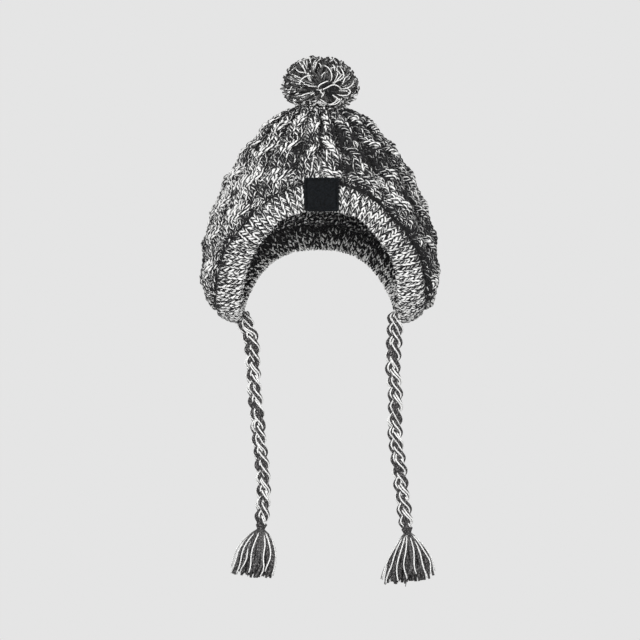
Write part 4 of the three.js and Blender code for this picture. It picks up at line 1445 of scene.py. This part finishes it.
class BEANIE_OT_pompom(bpy.types.Operator):
    """Ties the pom-pom: short lengths of yarn all round, and some that lie along it"""
    bl_idname = "beanie.pompom"
    bl_label = "Pom-pom"

    def execute(self, context):
        sizes, yarn = context.scene.beanie_pompom, context.scene.beanie_yarn
        finish = plain_finish("pompom_yarn", *POMPOM_DYES, yarn.light)
        heap = YarnHeap(SEEDS["pompom"])
        waves = heap.chance.normal(0, 3.2, (3, 3)), heap.chance.uniform(0, TAU, 3)
        self.lengths(heap, sizes, waves)
        self.loops(heap, sizes, waves)
        bm = bmesh.new()
        bmesh.ops.create_icosphere(bm, subdivisions=4, radius=1)
        mould(bm, lambda points: self.sagged(points * POMPOM_CORE) * MM)
        ground = backing_finish("pompom_ground", yarn.dark, POMPOM_FLECK)
        for piece in heap.make("pompom_yarns", finish), close_mesh("pompom_core", bm, ground):
            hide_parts("pompom")
        return {"FINISHED"}

    def lengths(self, heap, sizes, waves):
        """Yarns from the core outwards, combed over, with the light ones in tufts."""
        chance, count = heap.chance, sizes.yarns
        turn = np.arange(count) * GOLDEN_TURN
        level = 1 - 2 * (np.arange(count) + 0.5) / count
        flat = np.sqrt(1 - level ** 2)
        ray = np.stack([flat * np.cos(turn), flat * np.sin(turn), level], -1)
        ray = unit(ray + chance.normal(0, UNEVEN_RAY, ray.shape))
        lean = self.combed(ray, waves) + chance.normal(0, UNEVEN_BEND, ray.shape)
        lean = square_to(ray, lean)
        share = np.linspace(0, 1, LENGTH_STEPS)
        tip = TIP_LEAST + TIP_MORE * chance.random((count, 1)) ** 1.5
        bend = chance.uniform(*BENDS, (count, 1))
        away = POMPOM_START + (tip - POMPOM_START) * share ** 0.8
        lines = ray[:, None] * away[..., None] + lean[:, None] * (bend * share ** 2)[..., None]
        reach = np.linalg.norm(lines, axis=-1, keepdims=True)
        lines = lines * np.minimum(1, tip[..., None] / reach)
        tufts = np.sin(ray @ chance.normal(0, 8, (3, 4)) + chance.uniform(0, 6, 4)).sum(-1)
        light = chance.random(count) < sizes.light_share * (1 + 0.6 * tufts)
        radius = sizes.radius / MM * np.where(light, 0.8, 1.1)[:, None]
        heap.lay(self.sagged(lines), radius * (1 - 0.25 * share), lean[:, None], 5,
                 np.where(light, 1, 0.15 * chance.random(count) ** 2))

    def loops(self, heap, sizes, waves):
        """Yarns that lie in waves along the surface, with their ends tucked in."""
        chance, count = heap.chance, sizes.loops
        share = np.linspace(-1, 1, LOOP_STEPS)
        ray = unit(chance.normal(0, 1, (count, 3)))
        aside = self.combed(ray, waves) + chance.normal(0, UNEVEN_LOOP, ray.shape)
        aside = square_to(ray, aside)
        sweep = chance.uniform(*LOOP_SWEEPS, (count, 1)) * share
        wave = LOOP_WAVE * np.sin(
            chance.uniform(4, 9, (count, 1)) * sweep + chance.uniform(0, 6, (count, 1)))
        around = (towards(sweep, ray[:, None], aside[:, None])
                  + np.cross(ray, aside)[:, None] * wave[..., None])
        height = chance.uniform(0.95, 1.0, (count, 1)) * (1 - 0.3 * share ** 4)
        light = chance.random(count) < LIGHT_LOOPS
        radius = sizes.radius / MM * np.where(light, 0.66, 1.0)[:, None]
        heap.lay(self.sagged(unit(around) * height[..., None]), radius, ray[:, None], 5,
                 np.where(light, 1, 0.1 * chance.random(count)))

    @staticmethod
    def combed(ray, waves):
        """Directions along the ball: out from its middle as the front shows it, in soft waves."""
        return ray * (1.6, 0.2, 1.6) + (0, 0, 0.5) + 0.5 * np.sin(ray @ waves[0] + waves[1])

    @staticmethod
    def sagged(places):
        """Puts places of a unit ball on the pom-pom, which rests on the gathers."""
        tall = np.where(places[..., 2] > 0, POMPOM_RISE, POMPOM_DROP) - POMPOM_INSET
        fuller = 1 + 0.1 * np.clip(-places[..., 2], 0, 1)
        half = (POMPOM_WIDTH / 2 - POMPOM_INSET) * fuller
        spots = places * np.stack([half, half, tall], -1) + (0, 0, WALL + POMPOM_LEVEL)
        slope = dome_point(SIDE_ANGLE, LENGTHS.ways)
        reach = np.hypot(slope[:, 0], slope[:, 1])
        rest = np.interp(np.hypot(spots[..., 0], spots[..., 1]), reach, slope[:, 2])
        spots[..., 2] = np.maximum(spots[..., 2], rest + POMPOM_CLEAR)
        return spots


class BEANIE_PT_panel(bpy.types.Panel):
    """Lists the steps and the sizes of the beanie"""
    bl_label = "Beanie"
    bl_idname = "BEANIE_PT_panel"
    bl_space_type = "VIEW_3D"
    bl_region_type = "UI"
    bl_category = "Beanie"

    def draw(self, context):
        for step in STEPS:
            self.layout.operator(step.bl_idname)
        for name, group in SETTINGS.items():
            box = self.layout.box()
            box.label(text=group.__doc__)
            for key in group.__annotations__:
                box.prop(getattr(context.scene, name), key)


STEPS = (
    BEANIE_OT_stage, BEANIE_OT_ties, BEANIE_OT_crown, BEANIE_OT_band, BEANIE_OT_label,
    BEANIE_OT_pompom,
)
SETTINGS = {
    "beanie_knit": BeanieKnit, "beanie_yarn": BeanieYarn, "beanie_ties": BeanieTies,
    "beanie_pompom": BeaniePompom, "beanie_stage": BeanieStage,
}


def register():
    for name, group in SETTINGS.items():
        bpy.utils.register_class(group)
        setattr(bpy.types.Scene, name, bpy.props.PointerProperty(type=group))
    for part in (*STEPS, BEANIE_PT_panel):
        bpy.utils.register_class(part)


def unregister():
    for part in (*STEPS, BEANIE_PT_panel):
        bpy.utils.unregister_class(part)
    for name, group in SETTINGS.items():
        delattr(bpy.types.Scene, name)
        bpy.utils.unregister_class(group)


def main():
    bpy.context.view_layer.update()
    register()
    bpy.ops.beanie.stage()
    bpy.ops.beanie.ties()
    bpy.ops.beanie.crown()
    bpy.ops.beanie.band()
    bpy.ops.beanie.label()
    bpy.ops.beanie.pompom()


if __name__ == "__main__":
    main()
